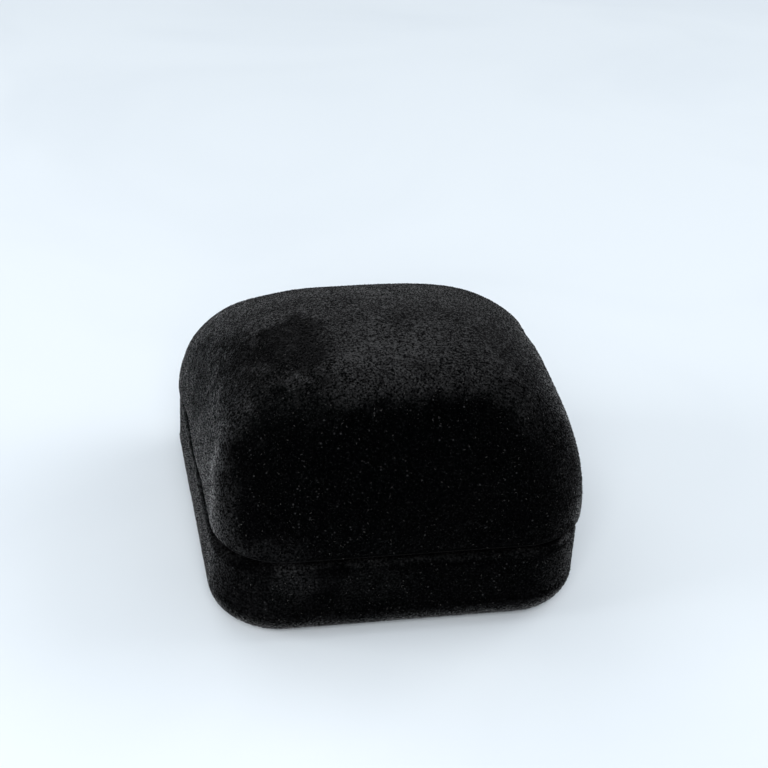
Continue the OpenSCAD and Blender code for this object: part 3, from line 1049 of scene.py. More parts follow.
@dataclass(frozen=True)
class BoxShape:
    """Shape of the box. The fields without a value come from the frame.

    Attributes:
        half_width: Half the width of the base.
        half_depth: Half its depth.
        height: Height of the shut box.
        parting: Height of the parting line and of the pin.
        axis_y: Y of the pin.
        base_top: Top of the base's velvet.
        lid_bottom: Bottom of the lid's velvet.
        velvet: Thickness of the velvet.
        shell_in: Distance of the shells' inner faces from the outside.
        knuckle: Distance of the leaves' inner faces from the pin's axis.
        notch_half: Half the width of the notch for the hinge.
        turn_in: Thickness of the velvet where it is turned in.
        turn_in_depth: How far down it is turned in inside the base.
        turn_top: Height to which it is turned in inside the lid.
        turn_round: Radius of the edge where it turns in.
        corner: Radius of the corners from above.
        bottom: Radius of the edge round the underside.
        rim: Radius of the outer edge of each rim.
        crown_forward: How far the crown lies in front of the middle.
        side: Section of the dome's left and right sides.
        front: Section of its front.
        back: Section of its back.
        crown_round: Roundness of the corners at the crown, from zero to one.
        bevel_angle: Slope at which the back rims are cut, so that the lid can swing.
        leaf: Thickness of the leaves.
        leaf_lean: Lean of the lid's leaf.
        clearance: Room round the hinge.
        pile: Depth of the base's face under the tips of its pile.
        wrap: Velvet left over the cut back rims.
        undercut: The same on the hidden side of the velvet.
    """

    half_width: float
    half_depth: float
    height: float
    parting: float
    axis_y: float
    base_top: float
    lid_bottom: float
    velvet: float
    shell_in: float
    knuckle: float
    notch_half: float
    turn_in: float = 0.5
    turn_in_depth: float = 3.8
    turn_top: float = 15.9
    turn_round: float = 0.35
    corner: float = 10.3
    bottom: float = 4.8
    rim: float = 1.4
    crown_forward: float = 8.3
    side: Flank = Flank(2.37, 3.47)
    front: Flank = Flank(2.59, 4.22)
    back: Flank = Flank(2.03, 1.8)
    crown_round: float = 0.92
    bevel_angle: float = math.radians(50.0)
    leaf: float = 0.5
    leaf_lean: float = math.radians(10.5)
    clearance: float = 0.3
    pile: float = 0.15
    wrap: float = 0.1
    undercut: float = -0.15

    @classmethod
    def from_frame(cls) -> "BoxShape":
        """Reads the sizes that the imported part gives.

        Returns:
            The shape.
        """
        joint = frame["joints"][0]
        base_high = extent("base_velvet")[1]
        lid_low = extent("lid_velvet")[0]
        pin_high = extent("hinge_pin")[1]
        leaf_low = extent("base_leaf")[0]
        axis_y = joint["pos_m"][1] / MM
        return cls(
            half_width=base_high[0], half_depth=base_high[1], height=cad_box[1][2] / MM,
            parting=joint["pos_m"][2] / MM, axis_y=axis_y, base_top=base_high[2], lid_bottom=lid_low[2],
            velvet=base_high[0] - extent("base_shell")[1][0], shell_in=extent("pad_board")[0][2],
            knuckle=axis_y - leaf_low[1], notch_half=pin_high[0] + cls.clearance)

    @property
    def turned(self) -> float:
        """Distance of the turned-in velvet's inner face from the outside."""
        return self.shell_in + self.turn_in

    @property
    def outline(self) -> tuple[float, float, float]:
        """Width, depth and radius of the corners."""
        return 2 * self.half_width, 2 * self.half_depth, self.corner

    def columns(self, step: float, edge: float) -> Columns:
        """Columns round the box, close together at a distance to each side of the middle."""
        return Columns.with_edges(*self.outline, step, edge)

    def even_columns(self, step: float) -> Columns:
        """Evenly spaced columns round the box."""
        return Columns.even(*self.outline, step)

    def base_rows(self, columns: Columns, inset: Array, height: Array) -> Array:
        """Rows of the tub, each at a distance inwards and a height, as lid_rows gives those of the dome."""
        x, y = self.half_width - inset, self.half_depth - inset
        return with_height(columns.rings(-x, x, -y, y, self.corner - inset), height)

    def lid_rows(self, columns: Columns, inset: Array, height: Array) -> Array:
        """Rows of the dome.

        Args:
            columns: Columns round the box.
            inset: Distance inwards of each row.
            height: Height of each row.

        Returns:
            Points, as rows by columns by three.
        """
        share = np.clip((height - self.parting) / (self.height - inset - self.parting), 0.0, 1.0)
        crown_y = -self.crown_forward
        half_x = (self.half_width - inset) * self.side.reach(share)
        front = (self.half_depth - self.crown_forward - inset) * self.front.reach(share)
        back = (self.half_depth + self.crown_forward - inset) * self.back.reach(share)
        low = (self.corner - inset) / (self.half_width - inset)
        part = low + (self.crown_round - low) * share ** 2
        radius = part * np.minimum(half_x, (front + back) / 2.0)
        return with_height(columns.rings(-half_x, half_x, crown_y - front, crown_y + back, radius), height)

    def dome_heights(self, inset: float, low: float, step: float) -> Array:
        """Heights of rows that lie evenly over the dome's side.

        Args:
            inset: Distance inwards from the cover.
            low: Height of the first row.
            step: Spacing of the rows.

        Returns:
            Heights up to just under the crown.
        """
        top = self.height - inset
        first = (low - self.parting) / (top - self.parting)
        flank = np.linspace(max(first, 0.0), 0.9, 600)
        over = np.linspace(self.side.reach(0.9), 0.02, 600)
        crown = (1.0 - over ** self.side.square) ** (1.0 / self.side.rise)
        share = np.concatenate([flank, crown[1:]])
        across = (self.half_width - inset) * self.side.reach(share)
        height = self.parting + (top - self.parting) * share
        length = np.concatenate([[0.0], np.cumsum(np.hypot(np.diff(across), np.diff(height)))])
        rows = max(int(length[-1] / step), 8)
        return np.interp(np.linspace(0.0, length[-1], rows), length, height)

    def in_notch(self, points: Array) -> Array:
        """One inside the hinge's notch at the back, and zero outside it."""
        near = 1.0 - smoothstep(self.notch_half - 0.05, self.notch_half + 0.35, np.abs(points[..., 0]))
        return near * (points[..., 1] > self.axis_y - 4.0)

    def cut_back(self, rows: Array, outer: Array, way: float) -> Array:
        """Lowers the rim of the tub, or raises that of the lid, over the bevel and the hinge's notch.

        Args:
            rows: Rows of points.
            outer: Whether each row faces outwards.
            way: One for the tub and minus one for the lid.

        Returns:
            The moved rows.
        """
        moved = rows.copy()
        wrap = np.where(outer, self.wrap, self.undercut)[:, None]
        rim = self.base_top if way > 0 else self.lid_bottom
        behind = np.maximum(rows[..., 1] - self.axis_y, 0.0) * math.tan(self.bevel_angle)
        bevel = way * rim - behind + wrap
        notch = way * self.parting - self.knuckle - self.clearance + wrap
        share = self.in_notch(rows)
        limit = bevel + (np.minimum(bevel, notch) - bevel) * share
        at_back = rows[..., 1] > self.axis_y - 2.5
        height = np.where(at_back, soft_min(way * rows[..., 2], limit, 0.25), way * rows[..., 2])
        moved[..., 2] = way * height
        return moved

    def behind_leaf(self, rows: Array, wall: Any, where: Array) -> Array:
        """Pushes turned-in velvet back to a wall at the hinge's notch, to make room for the leaf.

        Args:
            rows: Rows of points.
            wall: Y of the wall, or one for each point.
            where: Which points may move.

        Returns:
            The moved rows.
        """
        moved = rows.copy()
        moved[..., 1] += self.in_notch(rows) * where * (rows[..., 1] < wall) * (wall - rows[..., 1])
        return moved


def with_height(flat: Array, height: Array) -> Array:
    """Adds a height to each ring of flat points."""
    level = np.broadcast_to(np.asarray(height, float)[:, None, None], (*flat.shape[:2], 1))
    return np.concatenate([flat, level], axis=2)


def arc(centre: tuple[float, float], radius: float, start: float, end: float, steps: int) -> Array:
    """Points on an arc in a section between two angles in degrees, without the last one."""
    turn = np.radians(start + (end - start) * np.arange(steps) / steps)
    return np.stack([centre[0] + radius * np.cos(turn), centre[1] + radius * np.sin(turn)], axis=-1)


def line(start: tuple[float, float], end: tuple[float, float], steps: int) -> Array:
    """Points on a straight line in a section, without the last one."""
    share = np.arange(steps)[:, None] / steps
    return np.array(start) + (np.array(end) - np.array(start)) * share


# ---- geometry nodes ----


class GrowTree(Graph):
    """Geometry tree with named inputs, applied to a mesh as a plain result."""

    def __init__(self, name: str) -> None:
        """Starts a geometry tree.

        Args:
            name: Its name.
        """
        super().__init__(bpy.data.node_groups.new(name, "GeometryNodeTree"))
        self.tree.interface.new_socket("Geometry", in_out="INPUT", socket_type="NodeSocketGeometry")
        self.tree.interface.new_socket("Geometry", in_out="OUTPUT", socket_type="NodeSocketGeometry")
        self.entry = self.node("NodeGroupInput")
        self.source = Signal(self, self.entry.outputs["Geometry"])

    def size(self, name: str, kind: str = "NodeSocketFloat") -> Signal:
        """Adds an input with that name and type of socket."""
        self.tree.interface.new_socket(name, in_out="INPUT", socket_type=kind)
        return Signal(self, self.entry.outputs[name])

    def close(self, geometry: Signal, material: Signal) -> None:
        """Ends the tree in Realize Instances and Set Material.

        Args:
            geometry: The geometry made.
            material: The material input.
        """
        real = self.signal("GeometryNodeRealizeInstances", {}, {0: geometry})
        done = self.signal("GeometryNodeSetMaterial", {}, {"Geometry": real, "Material": material})
        self.node("NodeGroupOutput", {}, {0: done})

    def apply(self, source: Piece, name: str, values: dict[str, Any]) -> Piece:
        """Runs the tree on an object.

        Args:
            source: The object that it reads.
            name: Name of the new piece.
            values: Value of each named input.

        Returns:
            The result as a plain object.
        """
        modifier = source.modifiers.new(name, "NODES")
        modifier.node_group = self.tree
        names = {item.name: item.identifier for item in self.tree.interface.items_tree
                 if item.in_out == "INPUT"}
        for key, value in values.items():
            modifier[names[key]] = value
        made = plain_copy(source, name)
        source.modifiers.remove(modifier)
        return made


def pile_tree() -> GrowTree:
    """Makes a tree that grows short leaning tufts on the faces marked by the attribute cover.

    Returns:
        The tree.
    """
    tree = GrowTree("pile")
    density = tree.size("Density")
    length = tree.size("Length")
    width = tree.size("Width")
    lean = tree.size("Lean")
    seed = tree.size("Seed", "NodeSocketInt")
    material = tree.size("Material", "NodeSocketMaterial")
    cover = tree.signal("GeometryNodeInputNamedAttribute", {"data_type": "FLOAT"}, {"Name": "cover"})
    spread = tree.node("GeometryNodeDistributePointsOnFaces", {"distribute_method": "RANDOM"},
                       {"Mesh": tree.source, "Density": density * cover, "Seed": seed})
    tuft = tree.signal("GeometryNodeMeshCone", {"fill_type": "NGON"}, {
        "Vertices": 3, "Side Segments": 1, "Radius Top": 0.0, "Radius Bottom": width, "Depth": length})

    def scatter(shift: int) -> Signal:
        """Random vector for each tuft."""
        return tree.signal("FunctionNodeRandomValue", {"data_type": "FLOAT_VECTOR"},
                           {0: (-1.0, -1.0, -1.0), 1: (1.0, 1.0, 1.0), "Seed": seed + shift})

    stray = tree.signal("ShaderNodeVectorMath", {"operation": "SCALE"}, {0: scatter(1), "Scale": lean})
    way = tree.signal("ShaderNodeVectorMath", {"operation": "ADD"},
                      {0: Signal(tree, spread.outputs["Normal"]), 1: stray})
    aim = tree.signal("FunctionNodeAlignRotationToVector", {"axis": "Z"}, {"Vector": way})
    spin = tree.signal("FunctionNodeAlignRotationToVector", {"axis": "X", "pivot_axis": "Z"},
                       {"Rotation": aim, "Vector": scatter(2)})
    scale = tree.signal("FunctionNodeRandomValue", {"data_type": "FLOAT"},
                        {2: 0.6, 3: 1.25, "Seed": seed + 3}, 1)
    points = Signal(tree, spread.outputs["Points"])
    grown = tree.signal("GeometryNodeInstanceOnPoints", {}, {
        "Points": points, "Instance": tuft, "Rotation": spin, "Scale": scale})
    tree.close(grown, material)
    return tree


def rivet_tree() -> GrowTree:
    """Makes a tree that sets a domed rivet, head and shank, at each point, along the attribute way.

    Returns:
        The tree.
    """
    tree = GrowTree("rivets")
    head = tree.size("Head Radius")
    rise = tree.size("Head Height")
    shank = tree.size("Shank Radius")
    depth = tree.size("Shank Length")
    material = tree.size("Material", "NodeSocketMaterial")
    grid = tree.node("GeometryNodeMeshGrid", {}, {
        "Size X": 1.0, "Size Y": 1.0, "Vertices X": 25, "Vertices Y": 21})
    place = tree.node("ShaderNodeSeparateXYZ", {}, {0: tree.signal("GeometryNodeInputPosition")})
    turn = (Signal(tree, place.outputs[0]) + 0.5) * (2.0 * math.pi)
    run = Signal(tree, place.outputs[1]) + 0.5

    def stage(start: float, end: float) -> Signal:
        """Share of one stretch of the profile that is past."""
        return ((run - start) / (end - start)).at_least(0.0).at_most(1.0)

    dome = stage(0.0, 0.5) * (math.pi / 2.0)
    under = stage(0.6, 0.7)
    radius = head * dome.sine() * (1.0 - under) + shank * under * (1.0 - stage(0.9, 1.0))
    lip = 0.3
    height = rise * (dome.cosine() * (1.0 - lip) + lip) * (1.0 - stage(0.5, 0.6)) - depth * stage(0.7, 0.9)
    spot = tree.signal("ShaderNodeCombineXYZ", {},
                       {0: radius * turn.cosine(), 1: radius * turn.sine(), 2: height})
    turned = tree.signal("GeometryNodeSetPosition", {}, {
        "Geometry": Signal(tree, grid.outputs["Mesh"]), "Position": spot})
    whole = tree.signal("GeometryNodeMergeByDistance", {}, {"Geometry": turned, "Distance": 1e-6})
    smooth = tree.signal("GeometryNodeSetShadeSmooth", {}, {"Geometry": whole})
    way = tree.signal("GeometryNodeInputNamedAttribute", {"data_type": "FLOAT_VECTOR"}, {"Name": "way"})
    aim = tree.signal("FunctionNodeAlignRotationToVector", {"axis": "Z"}, {"Vector": way})
    points = tree.signal("GeometryNodeMeshToPoints", {}, {"Mesh": tree.source})
    tree.close(tree.signal("GeometryNodeInstanceOnPoints", {}, {
        "Points": points, "Instance": smooth, "Rotation": aim}), material)
    return tree


# ---- the covers ----


@dataclass(frozen=True)
class Pile:
    """Tufts of one cover.

    Attributes:
        density: Tufts on a square millimetre.
        length: Length of a tuft.
        width: Radius of its foot.
        lean: How far the tufts stray from upright.
    """

    density: float = 10.0
    length: float = 0.14
    width: float = 0.07
    lean: float = 0.8


LINT = Pile(density=0.36, length=0.3, width=0.026, lean=2.6)


def mark(obj: Piece, name: str, values: Array) -> None:
    """Stores a number at each vertex of a piece.

    Args:
        obj: The piece.
        name: Name of the attribute.
        values: The numbers, in any shape, and zero for each pole that is missing from them.
    """
    flat = np.zeros(len(obj.data.vertices), np.float32)
    flat[:values.size] = values.ravel()
    obj.data.attributes.new(name, "FLOAT", "POINT").data.foreach_set("value", flat)


def lay_nap_and_light(obj: Piece, seed: int, parting: float | None = None) -> None:
    """Stores how the pile lies, with painted light in it: standing on what faces up, lighter as painted
    light from above; hanging on the walls; crushed and darker at the rims by the parting line and towards
    the underside, as painted shade.

    Args:
        obj: The piece, whose attribute of the pile's lie and painted light is made.
        seed: Seed of the uneven edge of the standing pile.
        parting: Height of the parting line, beside which the pile is crushed as painted shade in the groove.
    """
    points = read_points(obj.data) / MM
    upward = read_vectors(obj.data.vertex_normals, "vector")[:, 2]
    tilt = np.degrees(np.arccos(np.clip(upward, -1.0, 1.0)))
    uneven = undulation(points, 9.0, seed) * 4.0 + undulation(points, 3.5, seed + 1) * 2.5
    # Standing pile on faces that look up, which the velvet finishes colour lighter: painted light from
    # above.
    nap_and_light = 1.0 - 0.5 * smoothstep(22.0, 62.0, tilt + uneven)
    if parting is not None:
        # Pile crushed beside the parting line and under the lid's rim: painted shade in the groove between
        # lid and base.
        away = np.abs(points[:, 2] - parting)
        lid = points[:, 2] > parting
        nap_and_light = np.where(away < 4.0, np.minimum(nap_and_light, 0.5), nap_and_light)
        nap_and_light *= np.where(lid, smoothstep(0.0, 0.8, away), smoothstep(0.1, 0.8, away))
        nap_and_light *= 1.0 - smoothstep(92.0, 112.0, tilt) * lid
        # Less nap towards the underside: painted shade along the bottom edge.
        nap_and_light *= 0.5 + 0.5 * smoothstep(0.5, 4.0, points[:, 2])
    mark(obj, "nap_and_light", nap_and_light)


def grow_pile(skin: Piece, name: str, body: Body, cover: Array, pile: Pile, seed: int,
              material: Material) -> None:
    """Grows one piece of tufts on a cover.

    Args:
        skin: The cover.
        name: Name of the new piece.
        body: The half it rides on.
        cover: Share of the full density at each vertex.
        pile: Sizes of the tufts.
        seed: Seed of their places.
        material: Their material.
    """
    mark(skin, "cover", cover)
    tufts = pile_tree().apply(skin, name, {
        "Density": pile.density / MM ** 2, "Length": pile.length * MM, "Width": pile.width * MM,
        "Lean": pile.lean, "Seed": seed, "Material": material})
    skin.data.attributes.remove(skin.data.attributes["cover"])
    dress(tufts, body, Slot.VELVET, material)


@dataclass
class BaseCover:
    """Velvet stretched over the tub and turned in at its rim.

    Attributes:
        shape: Shape of the box.
        step: Spacing of the mesh.
        wave: Height of the cover's gentle waves.
        pile: Sizes of the tufts.
    """

    shape: BoxShape
    step: float = 0.5
    wave: float = 0.05
    pile: Pile = Pile()

    def section(self) -> tuple[Array, int]:
        """Section of the cover as inset and height, from the underside round to the shell's side.

        Returns:
            The section, and the number of its points that face outwards.
        """
        s = self.shape
        top, side, r, small = s.base_top - s.pile, s.pile, s.rim, s.turn_round
        back, hidden = s.shell_in + 0.02, s.velvet + 0.02
        hem, shell_top = s.base_top - s.turn_in_depth, s.base_top - s.velvet
        outer = np.vstack([
            arc((s.bottom, s.bottom), s.bottom - side * 0.5, -90.0, -180.0, 18),
            line((side, s.bottom), (side, top - r), 14),
            arc((side + r, top - r), r, 180.0, 90.0, 12),
            line((side + r, top), (s.turned - small, top), 3),
            arc((s.turned - small, top - small), small, 90.0, 0.0, 6),
            line((s.turned, top - small), (s.turned, hem), 7)])
        inner = np.vstack([
            line((s.turned, hem), (back, hem), 2),
            line((back, hem), (back, shell_top), 3),
            line((back, shell_top), (hidden + r * 0.5, shell_top), 3),
            line((hidden, s.base_top - r), (hidden, s.bottom), 4),
            arc((s.bottom, s.bottom), s.bottom - hidden, -180.0, -90.0, 8),
            [(s.bottom, hidden)]])
        return np.vstack([outer, inner]), len(outer)

    def build(self, velvet: Material, tuft: Material, lint: Material) -> None:
        """Makes the cover and its pile.

        Args:
            velvet: Material of the cover.
            tuft: Material of its tufts.
            lint: Material of the stray fibres.
        """
        s = self.shape
        section, outward = self.section()
        rows = s.base_rows(s.columns(self.step, s.notch_half), section[:, 0], section[:, 1])
        under = [rows[0] * [share, share, 1.0] for share in (0.02, 0.2, 0.4, 0.6, 0.75, 0.87, 0.95)]
        over = [rows[-1] * [share, share, 1.0] for share in (0.9, 0.6, 0.3, 0.05)]
        rows = np.concatenate([np.array(under), rows, np.array(over)])
        outward += len(under)
        low = rows[:outward, :, 2] < s.bottom
        waves = undulation(rows[:outward], 17.0, 4) * self.wave * (1.0 - 0.7 * low)
        rows[:outward] += grid_normals(rows[:outward]) * waves[..., None]
        rows[:len(under), :, 2] = s.pile * 0.5
        outer = np.arange(len(rows)) < outward
        rows = s.cut_back(rows, outer, 1.0)
        lining = (rows[..., 2] > s.base_top - s.turn_in_depth - 0.5) & (rows[..., 1] > s.axis_y - 3.0)
        rows = s.behind_leaf(rows, s.half_depth - s.shell_in + 0.3, lining)
        middles = tuple(np.array([0.0, 0.0, row[0, 2]]) for row in (rows[0], rows[-1]))
        skin = loft("base_cover", rows, poles=middles)
        dress(skin, Body.BASE, Slot.VELVET, velvet, "base_velvet")
        lay_nap_and_light(skin, 61, s.parting)
        outer[len(under):outward] = section[:outward - len(under), 0] < s.turned - 0.01
        height = rows[..., 2]
        cover = smoothstep(0.4, 1.2, height) * smoothstep(0.5, 1.0, s.parting - height) * outer[:, None]
        grow_pile(skin, "base_pile", Body.BASE, cover, self.pile, 11, tuft)
        grow_pile(skin, "base_lint", Body.BASE, cover, LINT, 12, lint)


@dataclass(frozen=True)
class Fullness:
    """Place where the cover stands a little proud.

    Attributes:
        centre: Middle of the place.
        reach: How far it reaches.
        height: How far it stands proud.
    """

    centre: Point
    reach: float
    height: float


@dataclass
class LidCover:
    """Velvet stretched over the dome and turned in at its rim.

    Attributes:
        shape: Shape of the box.
        step: Spacing of the mesh.
        wave: Height of the cover's gentle waves.
        skin: Depth of the cover's face under the tips of its pile.
        full_corner: How far the velvet stands out at the front corners.
        drawn_corner: How far it is drawn in at the back corners.
        aside: How far the whole cover sits to the right.
        fuller: Places where the velvet stands proud.
        pile: Sizes of the tufts.
    """

    shape: BoxShape
    step: float = 0.5
    wave: float = 0.06
    skin: float = 0.05
    full_corner: float = 0.36
    drawn_corner: float = 0.25
    aside: float = 0.2
    fuller: tuple[Fullness, ...] = (
        Fullness((23.0, -8.5, 31.6), 8.0, 0.3), Fullness((15.5, 10.0, 34.0), 9.0, 0.3),
        Fullness((2.0, 13.0, 34.0), 10.0, 0.15), Fullness((-19.0, 18.5, 28.2), 7.0, 0.28),
        Fullness((-26.6, 17.0, 15.0), 6.5, 0.52), Fullness((25.5, -25.0, 15.5), 6.0, 0.22),
        Fullness((26.4, -21.0, 21.5), 6.0, 0.14), Fullness((-26.8, 0.0, 14.0), 9.0, 0.22),
        Fullness((22.0, -5.5, 32.6), 5.0, 0.2))
    pile: Pile = Pile()

    def stretch(self, rows: Array) -> Array:
        """Stretches the outer velvet unevenly over the corners.

        Args:
            rows: Rows of the cover's face.

        Returns:
            The moved rows.
        """
        normal = grid_normals(rows)
        flat = np.maximum(np.hypot(normal[..., 0], normal[..., 1]), 1e-6)
        corner = 2.0 * np.abs(normal[..., 0] * normal[..., 1]) / flat
        level = smoothstep(1.0, 6.0, rows[..., 2] - self.shape.parting)
        front = normal[..., 1] < 0
        amount = np.where(front, self.full_corner, -self.drawn_corner) * corner * level
        for place in self.fuller:
            away = np.linalg.norm(rows - np.array(place.centre), axis=2)
            amount += place.height * (1.0 - smoothstep(0.0, place.reach, away))
        return rows + normal * amount[..., None]

    def section(self) -> tuple[Array, int]:
        """Section of the cover as inset and height, from the hidden side round to the crown.

        Returns:
            The section, and the number of its points on the hidden side.
        """
        s = self.shape
        low = s.lid_bottom + self.skin
        r, small, side = s.rim, s.turn_round, self.skin
        back = s.shell_in + 0.12
        hidden = s.velvet - 0.02
        shell_low = s.lid_bottom + s.velvet
        inside = s.dome_heights(hidden, shell_low, 2.0)[::-1]
        inner = np.vstack([
            np.stack([np.full(len(inside), hidden), inside], axis=-1),
            line((hidden, shell_low), (back, shell_low), 3),
            line((back, shell_low), (back, s.turn_top), 4),
            line((back, s.turn_top), (s.turned, s.turn_top), 2)])
        start = low + r
        dome = s.dome_heights(side, start, self.step)
        outer = np.vstack([
            line((s.turned, s.turn_top), (s.turned, low + small), 6),
            arc((s.turned - small, low + small), small, 0.0, -90.0, 6),
            line((s.turned - small, low), (side + r, low), 3),
            arc((side + r, low + r), r, -90.0, -180.0, 12),
            np.stack([np.full(len(dome), side), dome], axis=-1)])
        return np.vstack([inner, outer]), len(inner)

    def build(self, velvet: Material, tuft: Material, lint: Material) -> None:
        """Makes the cover and its pile.

        Args:
            velvet: Material of the cover.
            tuft: Material of its tufts.
            lint: Material of the stray fibres.
        """
        s = self.shape
        section, hidden = self.section()
        rows = s.lid_rows(s.columns(self.step, s.notch_half), section[:, 0], section[:, 1])
        flank = smoothstep(0.0, 6.0, s.height - rows[hidden:, :, 2])
        rim = smoothstep(0.0, 3.0, rows[hidden:, :, 2] - s.lid_bottom)
        waves = undulation(rows[hidden:], 21.0, 9) * self.wave * rim * (0.4 + 0.6 * flank)
        rows[hidden:] += grid_normals(rows[hidden:]) * waves[..., None]
        rows[hidden:] = self.stretch(rows[hidden:])
        rows[..., 0] += self.aside
        outer = np.arange(len(rows)) >= hidden
        rows = s.cut_back(rows, outer, -1.0)
        leaf_face = s.axis_y - s.knuckle + s.leaf - (rows[..., 2] - s.parting) * math.tan(s.leaf_lean)
        lining = (rows[..., 2] < s.turn_top + 0.1) & (section[:, :1] > s.rim)
        rows = s.behind_leaf(rows, leaf_face + 0.35, lining)
        skin = loft("lid_cover", rows)
        dress(skin, Body.LID, Slot.VELVET, velvet, "lid_velvet")
        lay_nap_and_light(skin, 63, s.parting)
        outside = (outer & (section[:, 0] < s.turned - 0.01))[:, None]
        right = rows[..., 0] > 0
        above = rows[..., 2] - s.parting
        for name, side, seed in (("lid_pile_left", ~right, 21), ("lid_pile_right", right, 22)):
            cover = np.where(outside & side, smoothstep(0.9, 1.5, above), 0.0)
            grow_pile(skin, name, Body.LID, cover, self.pile, seed, tuft)
        cover = np.where(outside, smoothstep(0.7, 1.3, above), 0.0)
        grow_pile(skin, "lid_lint", Body.LID, cover, LINT, 23, lint)


# ---- inside the base ----


@dataclass
class Collar:
    """Velvet bound over the card collar that the lid closes round.

    Attributes:
        shape: Shape of the box.
        step: Spacing of the mesh.
        edge: Radius of the bound top edge.
        thick: Thickness of the bound board.
        card: Thickness of the bare board.
        gap: Room between the board and its binding.
    """

    shape: BoxShape
    step: float = 0.6
    edge: float = 0.85
    thick: float = 2.0
    card: float = 1.0
    gap: float = 0.04

    def build(self, velvet: Material, card: Material) -> None:
        """Makes the binding and dresses the board.

        Args:
            velvet: Material of the binding.
            card: Material of the board.
        """
        s = self.shape
        low, high = extent("collar_velvet")
        board_high = extent("collar_board")[1]
        outer, bottom, top = s.half_width - high[0], low[2], high[2]
        inner = outer + self.thick
        board = s.half_width - board_high[0]
        card_out, card_in = board - self.gap, board + self.card + self.gap
        card_top = board_high[2] + self.gap
        r = self.edge
        section = np.vstack([
            line((outer, bottom), (outer, top - r), 14),
            arc((outer + r, top - r), r, 180.0, 90.0, 9),
            line((outer + r, top), (inner - r, top), 2),
            arc((inner - r, top - r), r, 90.0, 0.0, 9),
            line((inner, top - r), (inner, bottom), 14),
            line((inner, bottom), (card_in, bottom), 2),
            line((card_in, bottom), (card_in, card_top), 6),
            line((card_in, card_top), (card_out, card_top), 3),
            line((card_out, card_top), (card_out, bottom), 6),
            line((card_out, bottom), (outer, bottom), 2)])
        notch = s.notch_half + s.clearance
        rows = s.base_rows(s.columns(self.step, s.notch_half), section[:, 0], section[:, 1])
        cut = s.parting - s.knuckle - 2 * s.clearance
        share = (1.0 - smoothstep(notch - 0.55, notch - 0.05, np.abs(rows[..., 0]))) * (rows[..., 1] > 0)
        lowered = bottom + (rows[..., 2] - bottom) * (cut - bottom) / (top - bottom)
        rows[..., 2] += (lowered - rows[..., 2]) * share
        rows[..., 2] += undulation(rows, 9.0, 31) * 0.04 * smoothstep(bottom, bottom + 2.0, rows[..., 2])
        binding = loft("collar_binding", rows, endless=True)
        lay_nap_and_light(binding, 65)
        dress(binding, Body.BASE, Slot.INNER_VELVET, velvet, "collar_velvet")
        dress_node("collar_board", card)


@dataclass(frozen=True)
class Stuffing:
    """Cloth simulation of a stuffed cover, run at ten times its size.

    Attributes:
        scale: Metres of the simulation for each millimetre.
        frames: Frames that the cloth has to settle.
        pressure: Pressure inside.
        stiffness: Stiffness of the cloth along its threads.
        bending: Stiffness against folding.
        shrink: Share by which the cloth is cut too large.
        cap: Most that a point may move.
    """

    scale: float = 0.01
    frames: int = 20
    pressure: float = 4.0
    stiffness: float = 15.0
    bending: float = 0.5
    shrink: float = 0.0
    cap: float = 0.5

    def settle(self, obj: Piece, held: Array) -> Array:
        """Lets the cover settle.

        Args:
            obj: The cover at the simulation's scale.
            held: How firmly each vertex is held.

        Returns:
            The new places of its vertices at the same scale.
        """
        rest = read_points(obj.data)
        group = obj.vertex_groups.new(name="held")
        held = np.round(held, 1)
        for level in np.unique(held[held > 0]):
            group.add(np.nonzero(held == level)[0].tolist(), float(level), "REPLACE")
        cloth = obj.modifiers.new("cloth", "CLOTH")
        settings = cloth.settings
        settings.quality = 6
        settings.mass = 0.3
        settings.tension_stiffness = settings.compression_stiffness = self.stiffness
        settings.shear_stiffness = self.stiffness / 3.0
        settings.bending_stiffness = self.bending
        settings.shrink_min = -self.shrink
        settings.use_pressure = self.pressure != 0.0
        settings.uniform_pressure_force = self.pressure
        settings.effector_weights.gravity = 0.0
        settings.vertex_group_mass = "held"
        cloth.point_cache.frame_start = 1
        cloth.point_cache.frame_end = self.frames
        scene = bpy.context.scene
        for number in range(1, self.frames + 1):
            scene.frame_set(number)
        settled = obj.evaluated_get(bpy.context.evaluated_depsgraph_get())
        move = read_points(settled.to_mesh()) - rest
        settled.to_mesh_clear()
        obj.modifiers.remove(cloth)
        scene.frame_set(1)
        length = np.linalg.norm(move, axis=1, keepdims=True)
        most = self.cap * self.scale
        return rest + move * np.minimum(1.0, most / np.maximum(length, 1e-9))


